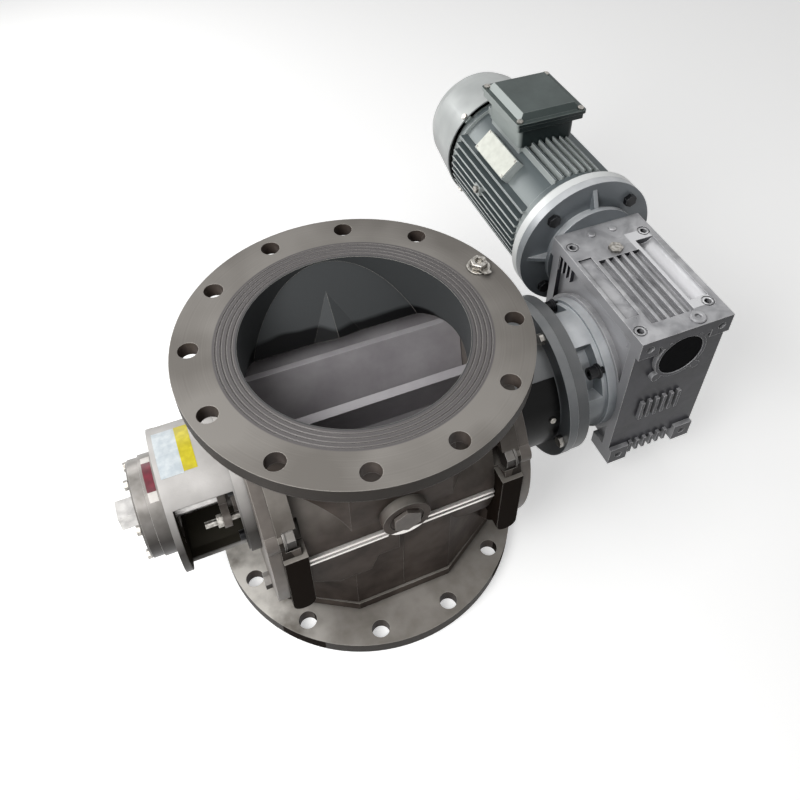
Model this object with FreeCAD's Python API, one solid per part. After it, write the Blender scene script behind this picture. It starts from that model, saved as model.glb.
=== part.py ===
# Rotary airlock valve with round flanges, driven by a worm gearbox and an electric motor.
# Millimetres, +Z up. The origin is the centre of the outlet flange's lower face.
# +X runs along the rotor shaft towards the gearbox, +Y along the motor.
import FreeCAD, Part
import math
import os

os.makedirs("parts", exist_ok=True)
Vec = FreeCAD.Vector

# Clearances
FIT = 0.05
ROTOR_GAP = 0.3
SCREW_GAP = 0.3

# Inlet and outlet flanges. Their radius sets the bore, and the bore sets rotor and body.
FLANGE_R = 194.5
FLANGE_T = 18.0
FLANGE_WIDTH = 69.5
HOLE_INSET = 19.5
BORE_R = FLANGE_R - FLANGE_WIDTH
BOLT_CIRCLE_R = FLANGE_R - HOLE_INSET
BOLT_HOLE_R = 11.0
BOLT_HOLES = 12
SEAL_GROOVE_STEP = 5.5
SEAL_GROOVE_FIRST_R = BORE_R + SEAL_GROOVE_STEP
SEAL_GROOVES = 4
SEAL_GROOVE_HALF = 1.1
SEAL_GROOVE_DEPTH = 0.9

# Body between the flanges
BORE_STEP = 1.0
THROAT_H = 54.0
SHELL_WALL = 9.0
BODY_OVERHANG = 14.0
NECK_INSET = 2.0
ROTOR_BORE_R = BORE_R + BORE_STEP
HEIGHT = 2 * (ROTOR_BORE_R + THROAT_H)
AXIS_Z = HEIGHT / 2
SHELL_R = ROTOR_BORE_R + SHELL_WALL
BODY_END = BORE_R + BODY_OVERHANG
NECK_FRONT = SHELL_R - NECK_INSET
NECK_FLAT = 0.48 * BORE_R
NECK_SIDE = 0.704 * BORE_R
SKIRT_STEP = 3.0
SKIRT_H = 14.0

# End flanges of the body, with the bolts of the end covers
END_FLANGE_T = 20.5
END_FLANGE_WIDTH = 17.0
END_FLANGE_R = SHELL_R + END_FLANGE_WIDTH
EAR_R = 13.0
END_BOLT_INSET = 6.0
END_BOLT_CIRCLE_R = END_FLANGE_R - END_BOLT_INSET
END_BOLT_ANGLES = (60, 120, 240, 300)
END_HOLE_DEEP = 22.0
END_BOLT_GRIP = 20.0
M12_R = 6.0
M12_FLATS = 18.0
M12_HEAD = 8.0
INNER_BOLT_INSET = 10.0
INNER_BOLT_CIRCLE_R = END_FLANGE_R - INNER_BOLT_INSET
INNER_BOLT_ANGLES = (23.3, 156.7)
INNER_POCKET_R = 15.5
INNER_SEAT = 5.0
M16_R = 8.0
M16_FLATS = 24.0
M16_HEAD = 10.0
M16_WASHER_R = 14.5
M16_WASHER_T = 2.5
PAD_L = 26.0
PAD_H = 34.0
PAD_CORNER_R = 12.5
PAD_BELOW = 68.0
PAD_ABOVE = 39.0
PAD_LOW = AXIS_Z - PAD_BELOW
PAD_HIGH = AXIS_Z + PAD_ABOVE

# Sloped inlet wall with its plough, which keeps the vanes from shearing lumps
LIP_ANGLE = 34.3
SLOPE_END = 2.0
SLOPE_TOP = HEIGHT - SLOPE_END
SLOPE_UNDER = 8.0
PLOUGH_HALF = 34.0
PLOUGH_RISE = 46.0
PLOUGH_OUT = 13.0

# Rib, raised panel and pressure port boss on the body's front and back
RIB_T = 3.5
RIB_PITCH = 8.5
RIB_OUT = 4.0
RIB_ROOT = 4.0
RIB_START = 20.0
RIB_END_GAP = 27.0
RIB_LENGTH = BODY_END - RIB_END_GAP - RIB_START
PANEL_OUT = 4.0
PANEL_NEAR = 6.0
PANEL_SIDE = 46.0
PANEL_STEP = 43.0
PANEL_LOW = 69.0
PANEL_FOOT = (42.0, 80.0)
PANEL_STEP_X = 32.0
PORT_UP = 27.0
PORT_Z = AXIS_Z + PORT_UP
PORT_R = 28.0
PORT_OUT = 10.0
PORT_FACE = SHELL_R + PORT_OUT
PORT_SPOT_R = 20.0
PORT_SPOT_DEEP = 1.0
PORT_HOLE_R = 12.0
PORT_HOLE_DEEP = 16.0
PLUG_FLATS = 30.0
PLUG_HEAD = 4.5
PLUG_GRIP = 14.0

# Shaft, from the square at the free end to the gearbox's hollow shaft
SHAFT_R = 22.5
SEAT_STEP = 2.5
SEAT_R = SHAFT_R - SEAT_STEP
DRIVE_STEP = 5.0
DRIVE_R = SHAFT_R - DRIVE_STEP
STUB_STEP = 5.5
STUB_R = SHAFT_R - STUB_STEP
SQUARE = 24.0
SQUARE_GAP = 2.0

# Rotor
VANES = 10
VANE_T = 10.0
VANE_PHASE = 16.0
HUB_R = 2 * SHAFT_R
ROTOR_SIDE_GAP = 0.7
ROTOR_HALF = BODY_END - ROTOR_SIDE_GAP

# End covers with their stuffing boxes
COVER_T = 13.0
COVER_INSET = 2.0
COVER_R = END_FLANGE_R - COVER_INSET
COVER_FACE = BODY_END + COVER_T
COVER_EAR_R = 11.5
PACKING_T = 8.0
PACKING_R = SHAFT_R + PACKING_T
PACKING_LIP = 4.0
PACKING_W = 8.5
PACKINGS = 3
BOX_WALL = 13.5
BOX_R = PACKING_R + BOX_WALL
BOX_LENGTH = 18.0
GLAND_NOSE = 7.0
GLAND_T = 9.0
GLAND_STEP = 7.5
GLAND_R = PACKING_R + GLAND_STEP
GLAND_LUG_OUT = 6.0
GLAND_LUG_Y = BOX_R + GLAND_LUG_OUT
GLAND_LUG_R = 10.0
STUD_R = 4.0
STUD_DEEP = 7.0
STUD_OUT_FREE = 20.0
STUD_OUT_DRIVE = 12.0
M8_FLATS = 13.0
M8_NUT = 6.5
M8_HEAD_R = 6.5
M8_HEAD = 8.0

# Lanterns that carry the shaft bearings clear of the stuffing boxes
LANTERN_OUT = 40.0
LANTERN_R = BOX_R + LANTERN_OUT
LANTERN_WALL = 8.0
LANTERN_STEP = 3.0
LANTERN_BASE_R = LANTERN_R + LANTERN_STEP
LANTERN_BASE_T = 12.0
LANTERN_BASE_GAP = 14.0
LANTERN_BASE_IN = BOX_R + LANTERN_BASE_GAP
LANTERN_SCREW_OUT = 24.0
LANTERN_SCREW_R = BOX_R + LANTERN_SCREW_OUT
LANTERN_SCREW_DEEP = 9.0
LANTERN_SCREW_GRIP = 8.0
FREE_LENGTH = 85.5
FREE_END = COVER_FACE + FREE_LENGTH
FREE_WALL = 8.5
WINDOW_TOP = 60.0
WINDOW_BOTTOM = 70.0
WINDOW_MARGIN = 2.0
DRIVE_LENGTH = 79.0
DRIVE_FLANGE_IN = COVER_FACE + DRIVE_LENGTH
DRIVE_FLANGE_T = 12.0
DRIVE_END = DRIVE_FLANGE_IN + DRIVE_FLANGE_T
DRIVE_FLANGE_WIDTH = 22.0
DRIVE_FLANGE_R = LANTERN_R + DRIVE_FLANGE_WIDTH
DRIVE_BOLT_IN = 10.0
DRIVE_BOLT_R = DRIVE_FLANGE_R - DRIVE_BOLT_IN
DRIVE_BOLTS = 4
DRIVE_BOLT_PHASE = 11.0
DRIVE_BOLT_GRIP = 9.0
GUARD_T = 1.5
GUARD_REACH_TOP = 3.5
GUARD_REACH_LOW = 24.0
GUARD_MARGIN = 2.0
GUARD_SCREW_IN = 11.0
GUARD_SCREW_ANGLES = (12.0, -48.0)
GUARD_SCREW_R = 2.0
GUARD_SCREW_L = 6.0
GUARD_HEAD_R = 4.0
GUARD_HEAD = 2.2

# Shaft bearings, 40 x 80 x 18
BEARING_T = 20.0
BEARING_R = SEAT_R + BEARING_T
BEARING_W = 18.0
BEARING_BALL_R = 6.0
BEARING_BALLS = 8
RACE_GAP = 0.15
FREE_BEARING_OUT = 12.5
FREE_BEARING_X = -(FREE_END + FREE_BEARING_OUT)
DRIVE_BEARING_IN = 40.0
DRIVE_BEARING_X = DRIVE_END - DRIVE_BEARING_IN
HOUSING_WIDTH = 19.0
HOUSING_R = BEARING_R + HOUSING_WIDTH
SPIGOT_WIDTH = 6.0
HOUSING_SPIGOT_R = BEARING_R + SPIGOT_WIDTH
HOUSING_LIP_R = BEARING_R - SPIGOT_WIDTH
HOUSING_LIP_T = 2.0
HOUSING_T = 16.5
HOUSING_OUT = FREE_END + HOUSING_T
CAP_STEP = 2.0
CAP_R = HOUSING_R - CAP_STEP
CAP_T = 14.0
CAP_OUT = HOUSING_OUT + CAP_T
CAP_ROOM = 3.0
CAP_BEVEL = 2.0
CAP_SCREW_OUT = 10.5
CAP_SCREW_R = BEARING_R + CAP_SCREW_OUT
CAP_SCREWS = 6
M6_R = 3.0
M6_FLATS = 10.0
M6_HEAD = 4.5
SQUARE_OUT = 23.0
SHAFT_FREE_END = CAP_OUT + SQUARE_OUT
DRIVE_BOSS_WIDTH = 12.0
DRIVE_BOSS_R = BEARING_R + DRIVE_BOSS_WIDTH
DRIVE_COVER_T = 6.0
DRIVE_COVER_STEP = 5.0
DRIVE_COVER_HOLE = SEAT_R + DRIVE_COVER_STEP
DRIVE_SCREW_IN = 6.0
DRIVE_SCREW_R = DRIVE_BOSS_R - DRIVE_SCREW_IN
DRIVE_SCREW_DEEP = 10.0
DRIVE_SCREW_GRIP = 9.0
M5_R = 2.5
M5_FLATS = 8.0
M5_HEAD = 3.5

# Worm gear pair
CENTRE_DISTANCE = 90.0
MODULE = 4.6
WHEEL_TEETH = 30
WHEEL_PITCH_R = MODULE * WHEEL_TEETH / 2
WORM_PITCH_R = CENTRE_DISTANCE - WHEEL_PITCH_R
PRESSURE_ANGLE = math.radians(20.0)
TOOTH_GAP = 0.35
WORM_TURNS = 5
THREAD_ROOT = 0.6
WHEEL_FACE = 36.0

# Gearbox housing
NECK_LENGTH = 66.0
GEARBOX_X0 = DRIVE_END + NECK_LENGTH
GEARBOX_L = 130.0
GEARBOX_X1 = GEARBOX_X0 + GEARBOX_L
GEARBOX_HALF_Y = 103.0
WORM_X = (GEARBOX_X0 + GEARBOX_X1) / 2
WORM_Z = AXIS_Z + CENTRE_DISTANCE
GEARBOX_BELOW = 103.0
GEARBOX_Z0 = AXIS_Z - GEARBOX_BELOW
GEARBOX_ABOVE = 45.0
GEARBOX_Z1 = WORM_Z + GEARBOX_ABOVE
FACE_RECESS = 6.0
SIDE_RECESS = 7.0
PLATE_T = 14.0
DECK_T = 15.0
PAD_SIZE = 28.0
PAD_HOLE_R = 5.0
PAD_HOLE_DEEP = 18.0
FOOT_H = 20.0
FOOT_LENGTH = 42.0
WHEEL_ROOM = 5.6
WHEEL_ROOM_R = WHEEL_PITCH_R + WHEEL_ROOM
WHEEL_ROOM_HALF = 34.5
WORM_ROOM = 7.0
WORM_ROOM_R = WORM_PITCH_R + WORM_ROOM
SIDE_STEP = 0.4
SIDE_BORE_R = WHEEL_ROOM_R + SIDE_STEP
BARREL_WALL = 18.0
BARREL_R = SIDE_BORE_R + BARREL_WALL
SIDE_COVER_T = 12.0
SIDE_SPACE = 1.0
HOLLOW_WALL = 10.0
HOLLOW_R = DRIVE_R + HOLLOW_WALL
HOLLOW_STEP = 6.5
HOLLOW_SEAT_R = HOLLOW_R + HOLLOW_STEP
HOLLOW_INSET = 2.0
WHEEL_BEARING_T = 17.5
WHEEL_BEARING_R = HOLLOW_R + WHEEL_BEARING_T
WHEEL_BEARING_W = 16.0
WHEEL_SHOULDER = 4.0
SIDE_HOUSING_WALL = 11.0
SIDE_HOUSING_R = WHEEL_BEARING_R + SIDE_HOUSING_WALL
OIL_SEAL_T = 8.5
OIL_SEAL_R = HOLLOW_R + OIL_SEAL_T
OIL_SEAL_W = 9.0
OIL_SEAL_INSET = 2.5
WORM_BEARING_R = 31.0
WORM_BEARING_W = 16.0
WORM_JOURNAL_R = 15.0
WORM_BEARING_IN = 70.0
WORM_INPUT_R = 19.0
WORM_COLLAR = 12.0
WORM_TAPER = 22.0
WORM_OUT = 22.0
WORM_CAP_T = 10.0
WORM_CAP_INSET = 1.0
CAP_BOSS_OUT = 10.0
CAP_BOSS_R = 6.5
CAP_RING = 5.0
FACE_FINS = 6
FACE_FIN_T = 4.5
FACE_FIN_STEP = 11.0
FACE_FIN_X = -5.0
FACE_FIN_LOW = 22.0
FACE_FIN_HIGH = 10.0
FOOT_FIN_TOP = 74.0
FOOT_FIN_LOW = 94.0
DECK_RIBS = 5
DECK_RIB_T = 4.0
DECK_POCKET = (-36.0, 25.0, -78.0, 40.0, 6.0)
DECK_PANEL = (-60.0, -41.0, -60.0, 50.0, 3.0)
CHANNEL_X = 43.0
CHANNEL_R = 14.0
CHANNEL_UP = 5.0
CHANNEL_Y0 = -62.0
CHANNEL_Y1 = 56.0
DECK_HOLES = [(51.0, 69.0), (49.0, -72.0), (-55.0, -83.0), (-53.0, 75.0)]
DECK_HOLE_R = 4.5
DECK_HOLE_DEEP = 12.0
DECK_RING_R = 8.5
DECK_RING_T = 1.8
DECK_RING_DEEP = 1.5
SIDE_FINS = 5
SIDE_FIN_T = 3.0
SIDE_FIN_STEP = 9.0
SIDE_FIN_Y = 56.0
SIDE_FIN_H = 26.0
OIL_PLUG_FLATS = 17.0
OIL_PLUG_R = 7.0
OIL_PLUG_DEEP = 9.0
OIL_PLUG_GRIP = 8.0
OIL_PLUG_HEAD = 4.0
FILLER_X = -3.0
FILLER_Y = 52.0
DRAIN_UP = 34.0
KEY_W = 10.0
KEY_H = 8.0
KEY_LENGTH = 60.0
KEY_SUNK = 0.6
MOTOR_KEY_W = 8.0
MOTOR_KEY_H = 7.0
MOTOR_KEY_L = 30.0
SHAFT_SHORT = 12.0

# Output flange between the drive lantern and the gearbox
OUT_FLANGE_R = DRIVE_FLANGE_R - 1.0
OUT_FLANGE_T = 16.0
OUT_BELL_R = LANTERN_R
OUT_BELL_STEP = 3.0
OUT_FOOT_R = OUT_BELL_R + 4.0
OUT_FOOT_T = 12.0
OUT_BORE_R = 40.0
OUT_PILOT_R = 65.0
OUT_PILOT_T = 4.0
OUT_PILOT_GAP = 1.0
OUT_ANGLES = (49, 139, 229, 319)
OUT_POCKET_R = 62.0
OUT_POCKET_HALF = 24.5
OUT_SEAT_T = 18.0
OUT_SCREW_OUT = 6.0
OUT_SCREW_R = SIDE_BORE_R + OUT_SCREW_OUT
OUT_SCREW_DEEP = 16.0
OUT_SCREW_GRIP = 14.0
M10_R = 5.0
M10_HEAD_R = 8.0
M10_HEAD = 10.0
M10_WASHER_R = 9.8
M10_WASHER_T = 2.0
M10_SPRING_R = 8.5
M10_SPRING_T = 2.5
M10_FLATS = 16.0
M10_BOLT_HEAD = 6.5

# Motor, size 90 with the flange of 200
FRAME_R = 81.0
FRAME_WALL = 5.0
FRAME_IN_R = FRAME_R - FRAME_WALL
FRAME_RIM_OUT = 5.0
FRAME_RIM_R = FRAME_R + FRAME_RIM_OUT
FRAME_RIM_W = 8.0
FIN_OUT = 10.0
FIN_TIP_R = FRAME_R + FIN_OUT
FIN_ROOT = 26.0
FIN_T = 2.5
FIN_PITCH = 11.0
FINS_SIDE = 9
FINS_LOW = 7
SHIELD_NECK_STEP = 9.0
SHIELD_NECK_R = FRAME_R - SHIELD_NECK_STEP
NUT_ROOM = 10.5
MOTOR_BOLT_R = SHIELD_NECK_R + NUT_ROOM
MOTOR_RIM = 17.5
MOTOR_FLANGE_R = MOTOR_BOLT_R + MOTOR_RIM
MOTOR_PILOT_R = MOTOR_BOLT_R - MOTOR_RIM
MOTOR_PILOT_T = 3.5
INPUT_L = 17.0
INPUT_FLANGE_Y0 = GEARBOX_HALF_Y + INPUT_L
MOTOR_FLANGE_T = 12.0
MOTOR_JOINT_Y = INPUT_FLANGE_Y0 + MOTOR_FLANGE_T
MOTOR_NUT = 8.0
MOTOR_HOLE_R = 5.8
INPUT_NECK_IN = 22.5
INPUT_NECK_R = MOTOR_BOLT_R - INPUT_NECK_IN
INPUT_BORE_R = 36.0
INPUT_FOOT_T = 6.0
INPUT_FOOT_OUT = 8.0
GUSSET_T = 6.0
SHIELD_L = 25.0
FRAME_Y0 = MOTOR_JOINT_Y + SHIELD_L
FRAME_L = 211.0
FRAME_Y1 = FRAME_Y0 + FRAME_L
CORE_START = 31.0
CORE_Y0 = FRAME_Y0 + CORE_START
CORE_L = 134.0
CORE_Y1 = CORE_Y0 + CORE_L
CORE_T = 26.0
CORE_IN_R = FRAME_IN_R - CORE_T
AIR_GAP = 0.5
CAGE_STEP = 7.0
CAGE_L = 9.0
WINDING_LENGTH = 24.0
WINDING_OUT_GAP = 6.0
WINDING_IN_GAP = 5.0
MOTOR_SHAFT_R = 12.0
MOTOR_SEAT_R = 12.5
MOTOR_CORE_STEP = 4.0
MOTOR_TAIL_STEP = 2.0
MOTOR_SHAFT_IN = 48.0
MOTOR_BORE_DEEP = 50.0
MOTOR_BEARING_R = 26.0
MOTOR_BEARING_W = 15.0
FRONT_BEARING_IN = 18.0
FRONT_BEARING_Y = MOTOR_JOINT_Y + FRONT_BEARING_IN
REAR_BEARING_IN = 13.0
REAR_BEARING_Y = FRAME_Y1 - REAR_BEARING_IN
SHIELD_HUB_WALL = 8.0
SHIELD_HUB_R = MOTOR_BEARING_R + SHIELD_HUB_WALL
SHIELD_COLLAR_T = 3.5
SHIELD_WALL = 6.0
SHIELD_HOLE_STEP = 2.0
SPIGOT_L = 6.0
REAR_SHIELD_T = 9.0
COWL_OUT = 12.0
COWL_R = FRAME_R + COWL_OUT
COWL_GAP = 3.0
COWL_Y0 = FRAME_Y1 + COWL_GAP
COWL_L = 99.0
COWL_Y1 = COWL_Y0 + COWL_L
COWL_T = 2.0
COWL_MID = 20.0
COWL_MID_Y = COWL_Y1 - COWL_MID
COWL_MID_STEP = 10.0
COWL_MID_R = COWL_R - COWL_MID_STEP
COWL_END_STEP = 20.0
COWL_END_R = COWL_R - COWL_END_STEP
COWL_TAPER = 1.2
COWL_SLOTS = 12
COWL_SLOT_W = 7.0
COWL_SLOT_IN = 26.0
COWL_SLOT_OUT = 9.0
LUG_W = 12.0
COWL_SCREW_R = 2.0
FAN_START = 24.0
FAN_Y0 = FRAME_Y1 + FAN_START
FAN_HUB_R = 20.0
FAN_R = COWL_END_R - 1.0
FAN_BLADES = 8
FAN_BLADE_W = 30.0
FAN_BLADE_T = 3.0
FAN_PLATE_T = 3.0
EARTH_ANGLE = 172.0
EARTH_Y = 270.0
EARTH_W = 15.0
EARTH_OUT = 3.0
EARTH_HOLE_R = 3.0
EARTH_FLATS = 10.0
EARTH_HEAD = 4.0

# Terminal box on the motor, and its nameplate
TERMINAL_Y = 296.0
TERMINAL_X = 87.0
TERMINAL_L = 92.0
TERMINAL_UP = 1.0
TERMINAL_Z0 = WORM_Z + FRAME_R + TERMINAL_UP
TERMINAL_H = 39.0
TERMINAL_Z1 = TERMINAL_Z0 + TERMINAL_H
TERMINAL_WALL = 4.0
TERMINAL_CORNER_R = 8.0
TERMINAL_RIM_H = 7.0
TERMINAL_SEAT_IN = 4.0
GASKET_T = 1.5
GASKET_IN = 2.5
LID_X = 108.0
LID_L = 112.0
LID_CORNER_R = 4.0
LID_RIM_T = 5.0
LID_T = 14.0
LID_SLOPE = 7.0
LID_SLOPE_L = 6.0
LID_TOP_X = 80.0
LID_TOP_L = 86.0
LID_WALL = 4.0
LID_SCREW_IN = 6.5
LID_SCREW_R = 2.5
LID_SCREW_HEAD_R = 4.5
LID_SCREW_HEAD = 2.5
LID_SCREW_L = 5.0
BLOCK_X = 52.0
BLOCK_L = 34.0
BLOCK_H = 10.0
POST_R = 3.0
POST_H = 8.0
POST_X = 16.0
POST_Y = 9.0
PLATE_ANGLE = 45.0
PLATE_R = FRAME_R + 12.0
PLATE_L = 85.0
PLATE_W = 34.0
PLATE_MARGIN = 1.0
PLATE_THICK = 1.0
PLATE_Y = 272.0

# Angles of parts that come in fours
QUARTERS = (45, 135, 225, 315)


def box(x0, x1, y0, y1, z0, z1):
    """Block between two corners."""
    return Part.makeBox(x1 - x0, y1 - y0, z1 - z0, Vec(x0, y0, z0))


def cyl_x(radius, x0, x1, y=0.0, z=AXIS_Z):
    """Cylinder along X, on the rotor's axis unless a place is given."""
    return Part.makeCylinder(radius, x1 - x0, Vec(x0, y, z), Vec(1, 0, 0))


def cyl_y(radius, y0, y1, x=WORM_X, z=WORM_Z):
    """Cylinder along Y, on the worm's axis unless a place is given."""
    return Part.makeCylinder(radius, y1 - y0, Vec(x, y0, z), Vec(0, 1, 0))


def cyl_z(radius, z0, z1, x=0.0, y=0.0):
    """Upright cylinder, on the flanges' axis unless a place is given."""
    return Part.makeCylinder(radius, z1 - z0, Vec(x, y, z0))


def ring_x(outer, inner, x0, x1):
    """Ring round the rotor's axis."""
    return cyl_x(outer, x0, x1).cut(cyl_x(inner, x0, x1))


def ring_y(outer, inner, y0, y1):
    """Ring round the worm's axis."""
    return cyl_y(outer, y0, y1).cut(cyl_y(inner, y0, y1))


def turned_x(points):
    """Turned piece on the rotor's axis, from (x, radius) points."""
    loop = [Vec(x, 0, AXIS_Z + r) for x, r in points]
    face = Part.Face(Part.makePolygon(loop + loop[:1]))
    return face.revolve(Vec(0, 0, AXIS_Z), Vec(1, 0, 0), 360)


def turned_y(points):
    """Turned piece on the worm's axis, from (y, radius) points."""
    loop = [Vec(WORM_X, y, WORM_Z + r) for y, r in points]
    face = Part.Face(Part.makePolygon(loop + loop[:1]))
    return face.revolve(Vec(WORM_X, 0, WORM_Z), Vec(0, 1, 0), 360)


def prism(points, along):
    """Prism from a closed polygon."""
    return Part.Face(Part.makePolygon(points + points[:1])).extrude(along)


def fused(first, others):
    """One solid from pieces that touch."""
    return first.multiFuse(others).removeSplitter()


def hexagon(flats, base, along):
    """Hexagonal prism that stands on base."""
    axis = Vec(along).normalize()
    side = axis.cross(Vec(0, 0, 1))
    if side.Length < 0.1:
        side = Vec(1, 0, 0)
    side.normalize()
    up = side.cross(axis)
    corner = flats / math.sqrt(3.0)
    turns = [math.radians(60.0 * k + 30.0) for k in range(6)]
    return prism([base + side * (corner * math.cos(t)) + up * (corner * math.sin(t)) for t in turns], along)


def hex_bolt(seat, inward, radius, length, flats, head):
    """Hex bolt with its head on seat and its shank running inward."""
    shank = Part.makeCylinder(radius, length, seat, inward)
    return hexagon(flats, seat, inward * -head).fuse(shank)


def socket_screw(seat, inward, radius, length, head_r, head):
    """Cap screw with a hexagon socket in its head."""
    shank = Part.makeCylinder(radius, length, seat, inward)
    cap = Part.makeCylinder(head_r, head, seat, inward * -1)
    socket = hexagon(head_r, seat - inward * head, inward * (head / 2))
    return cap.fuse(shank).cut(socket)


def on_circle_x(radius, degrees, x):
    """Point on a circle round the rotor's axis, from +Y towards +Z."""
    t = math.radians(degrees)
    return Vec(x, radius * math.cos(t), AXIS_Z + radius * math.sin(t))


def on_circle_y(radius, degrees, y):
    """Point on a circle round the worm's axis, from +X towards +Z."""
    t = math.radians(degrees)
    return Vec(WORM_X + radius * math.cos(t), y, WORM_Z + radius * math.sin(t))


def end_bolt_seats(side, x):
    """Places of the cover's outer and inner bolts at one depth, as two lists."""
    outer = [on_circle_x(END_BOLT_CIRCLE_R, angle, side * x) for angle in END_BOLT_ANGLES]
    inner = [on_circle_x(INNER_BOLT_CIRCLE_R, angle, side * x) for angle in INNER_BOLT_ANGLES]
    return outer, inner


def neck_outline(grow, z):
    """Eight-sided outline of the body's neck."""
    right = [(BODY_END, NECK_SIDE), (NECK_FLAT, NECK_FRONT + grow)]
    points = right + [(-x, y) for x, y in reversed(right)]
    points = points + [(-x, -y) for x, y in points]
    return [Vec(x, y, z) for x, y in points]


def bolted_flange(z0, z1):
    """Round flange with its ring of bolt holes."""
    flange = cyl_z(FLANGE_R, z0, z1)
    holes = []
    for k in range(BOLT_HOLES):
        t = math.radians((k + 0.5) * 360.0 / BOLT_HOLES)
        x = BOLT_CIRCLE_R * math.cos(t)
        y = BOLT_CIRCLE_R * math.sin(t)
        holes.append(cyl_z(BOLT_HOLE_R, z0 - 1, z1 + 1, x, y))
    return flange.cut(Part.makeCompound(holes))


def seal_grooves(z, inward):
    """Turned V grooves of a flange face; inward is the way they are cut."""
    rings = []
    for k in range(SEAL_GROOVES):
        r = SEAL_GROOVE_FIRST_R + k * SEAL_GROOVE_STEP
        loop = [
            Vec(r - SEAL_GROOVE_HALF, 0, z - inward * 0.1),
            Vec(r, 0, z + inward * SEAL_GROOVE_DEPTH),
            Vec(r + SEAL_GROOVE_HALF, 0, z - inward * 0.1),
        ]
        face = Part.Face(Part.makePolygon(loop + loop[:1]))
        rings.append(face.revolve(Vec(0, 0, 0), Vec(0, 0, 1), 360))
    return rings


def lip_point():
    """Where the sloped inlet wall meets the rotor bore, as (y, z)."""
    t = math.radians(LIP_ANGLE)
    return ROTOR_BORE_R * math.sin(t), AXIS_Z + ROTOR_BORE_R * math.cos(t)


def inlet_room():
    """Space of the inlet: a round throat with a sloped wall and its plough."""
    lip_y, lip_z = lip_point()
    slope = (BORE_R - lip_y) / (SLOPE_TOP - lip_z)
    low_y = lip_y - slope * SLOPE_UNDER
    low_z = lip_z - SLOPE_UNDER
    wide = BORE_R + 5
    wall = prism([
        Vec(-wide, low_y, low_z),
        Vec(-wide, BORE_R, SLOPE_TOP),
        Vec(-wide, wide, SLOPE_TOP),
        Vec(-wide, wide, low_z),
    ], Vec(2 * wide, 0, 0))
    apex = Vec(0, lip_y + slope * PLOUGH_RISE, lip_z + PLOUGH_RISE)
    left = Vec(-PLOUGH_HALF, low_y, low_z)
    right = Vec(PLOUGH_HALF, low_y, low_z)
    nose = Vec(0, low_y - PLOUGH_OUT, low_z)
    sides = [(apex, left, right), (apex, left, nose), (apex, right, nose), (left, right, nose)]
    faces = [Part.Face(Part.makePolygon([a, b, c, a])) for a, b, c in sides]
    plough = Part.Solid(Part.Shell(faces))
    if plough.Volume < 0:
        plough.reverse()
    return cyl_z(BORE_R, AXIS_Z, HEIGHT + 1).cut(wall).cut(plough)


def body_end_flange(side):
    """End flange of the body with ears for the cover's bolts and two thick pads."""
    x0 = min(side * (BODY_END - END_FLANGE_T), side * BODY_END)
    x1 = x0 + END_FLANGE_T
    outer, inner = end_bolt_seats(side, BODY_END)
    pieces = [cyl_x(EAR_R, x0, x1, seat.y, seat.z) for seat in outer + inner]
    pad0 = min(side * (BODY_END - PAD_L), side * BODY_END)
    for front in (-1, 1):
        y0 = min(front * END_FLANGE_R, front * (END_FLANGE_R - PAD_H))
        pad = box(pad0, pad0 + PAD_L, y0, y0 + PAD_H, PAD_LOW, PAD_HIGH)
        low = [e for e in pad.Edges
               if abs(e.CenterOfMass.z - PAD_LOW) < 0.1 and abs(e.CenterOfMass.y - y0 - PAD_H / 2) < 0.1]
        pieces.append(pad.makeFillet(PAD_CORNER_R, low))
    return [cyl_x(END_FLANGE_R, x0, x1)] + pieces


def body_ribs():
    """Pairs of ribs on the front and back, on both sides of the port boss."""
    ribs = []
    for front in (-1, 1):
        y0 = min(front * (SHELL_R - RIB_ROOT), front * (SHELL_R + RIB_OUT))
        y1 = y0 + RIB_OUT + RIB_ROOT
        for start in (RIB_START, -RIB_START - RIB_LENGTH):
            for row in (-1, 1):
                z = AXIS_Z + row * RIB_PITCH / 2
                ribs.append(box(start, start + RIB_LENGTH, y0, y1, z - RIB_T / 2, z + RIB_T / 2))
    return ribs


def raised_panels():
    """Raised cast panel below one rib pair on each side, stepped up towards the port boss."""
    far = RIB_START + RIB_LENGTH
    near_foot, far_foot = PANEL_FOOT
    outline = [
        (PANEL_NEAR, 0.0),
        (far, 0.0),
        (far, -PANEL_SIDE),
        (far_foot, -PANEL_LOW),
        (near_foot, -PANEL_LOW),
        (PANEL_STEP_X, -PANEL_STEP),
        (PANEL_NEAR, -PANEL_STEP),
    ]
    panels = []
    for front in (-1, 1):
        points = [Vec(front * x, front * NECK_SIDE, AXIS_Z + z) for x, z in outline]
        panels.append(prism(points, Vec(0, front * (NECK_FRONT + PANEL_OUT - NECK_SIDE), 0)))
    return panels


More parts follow.
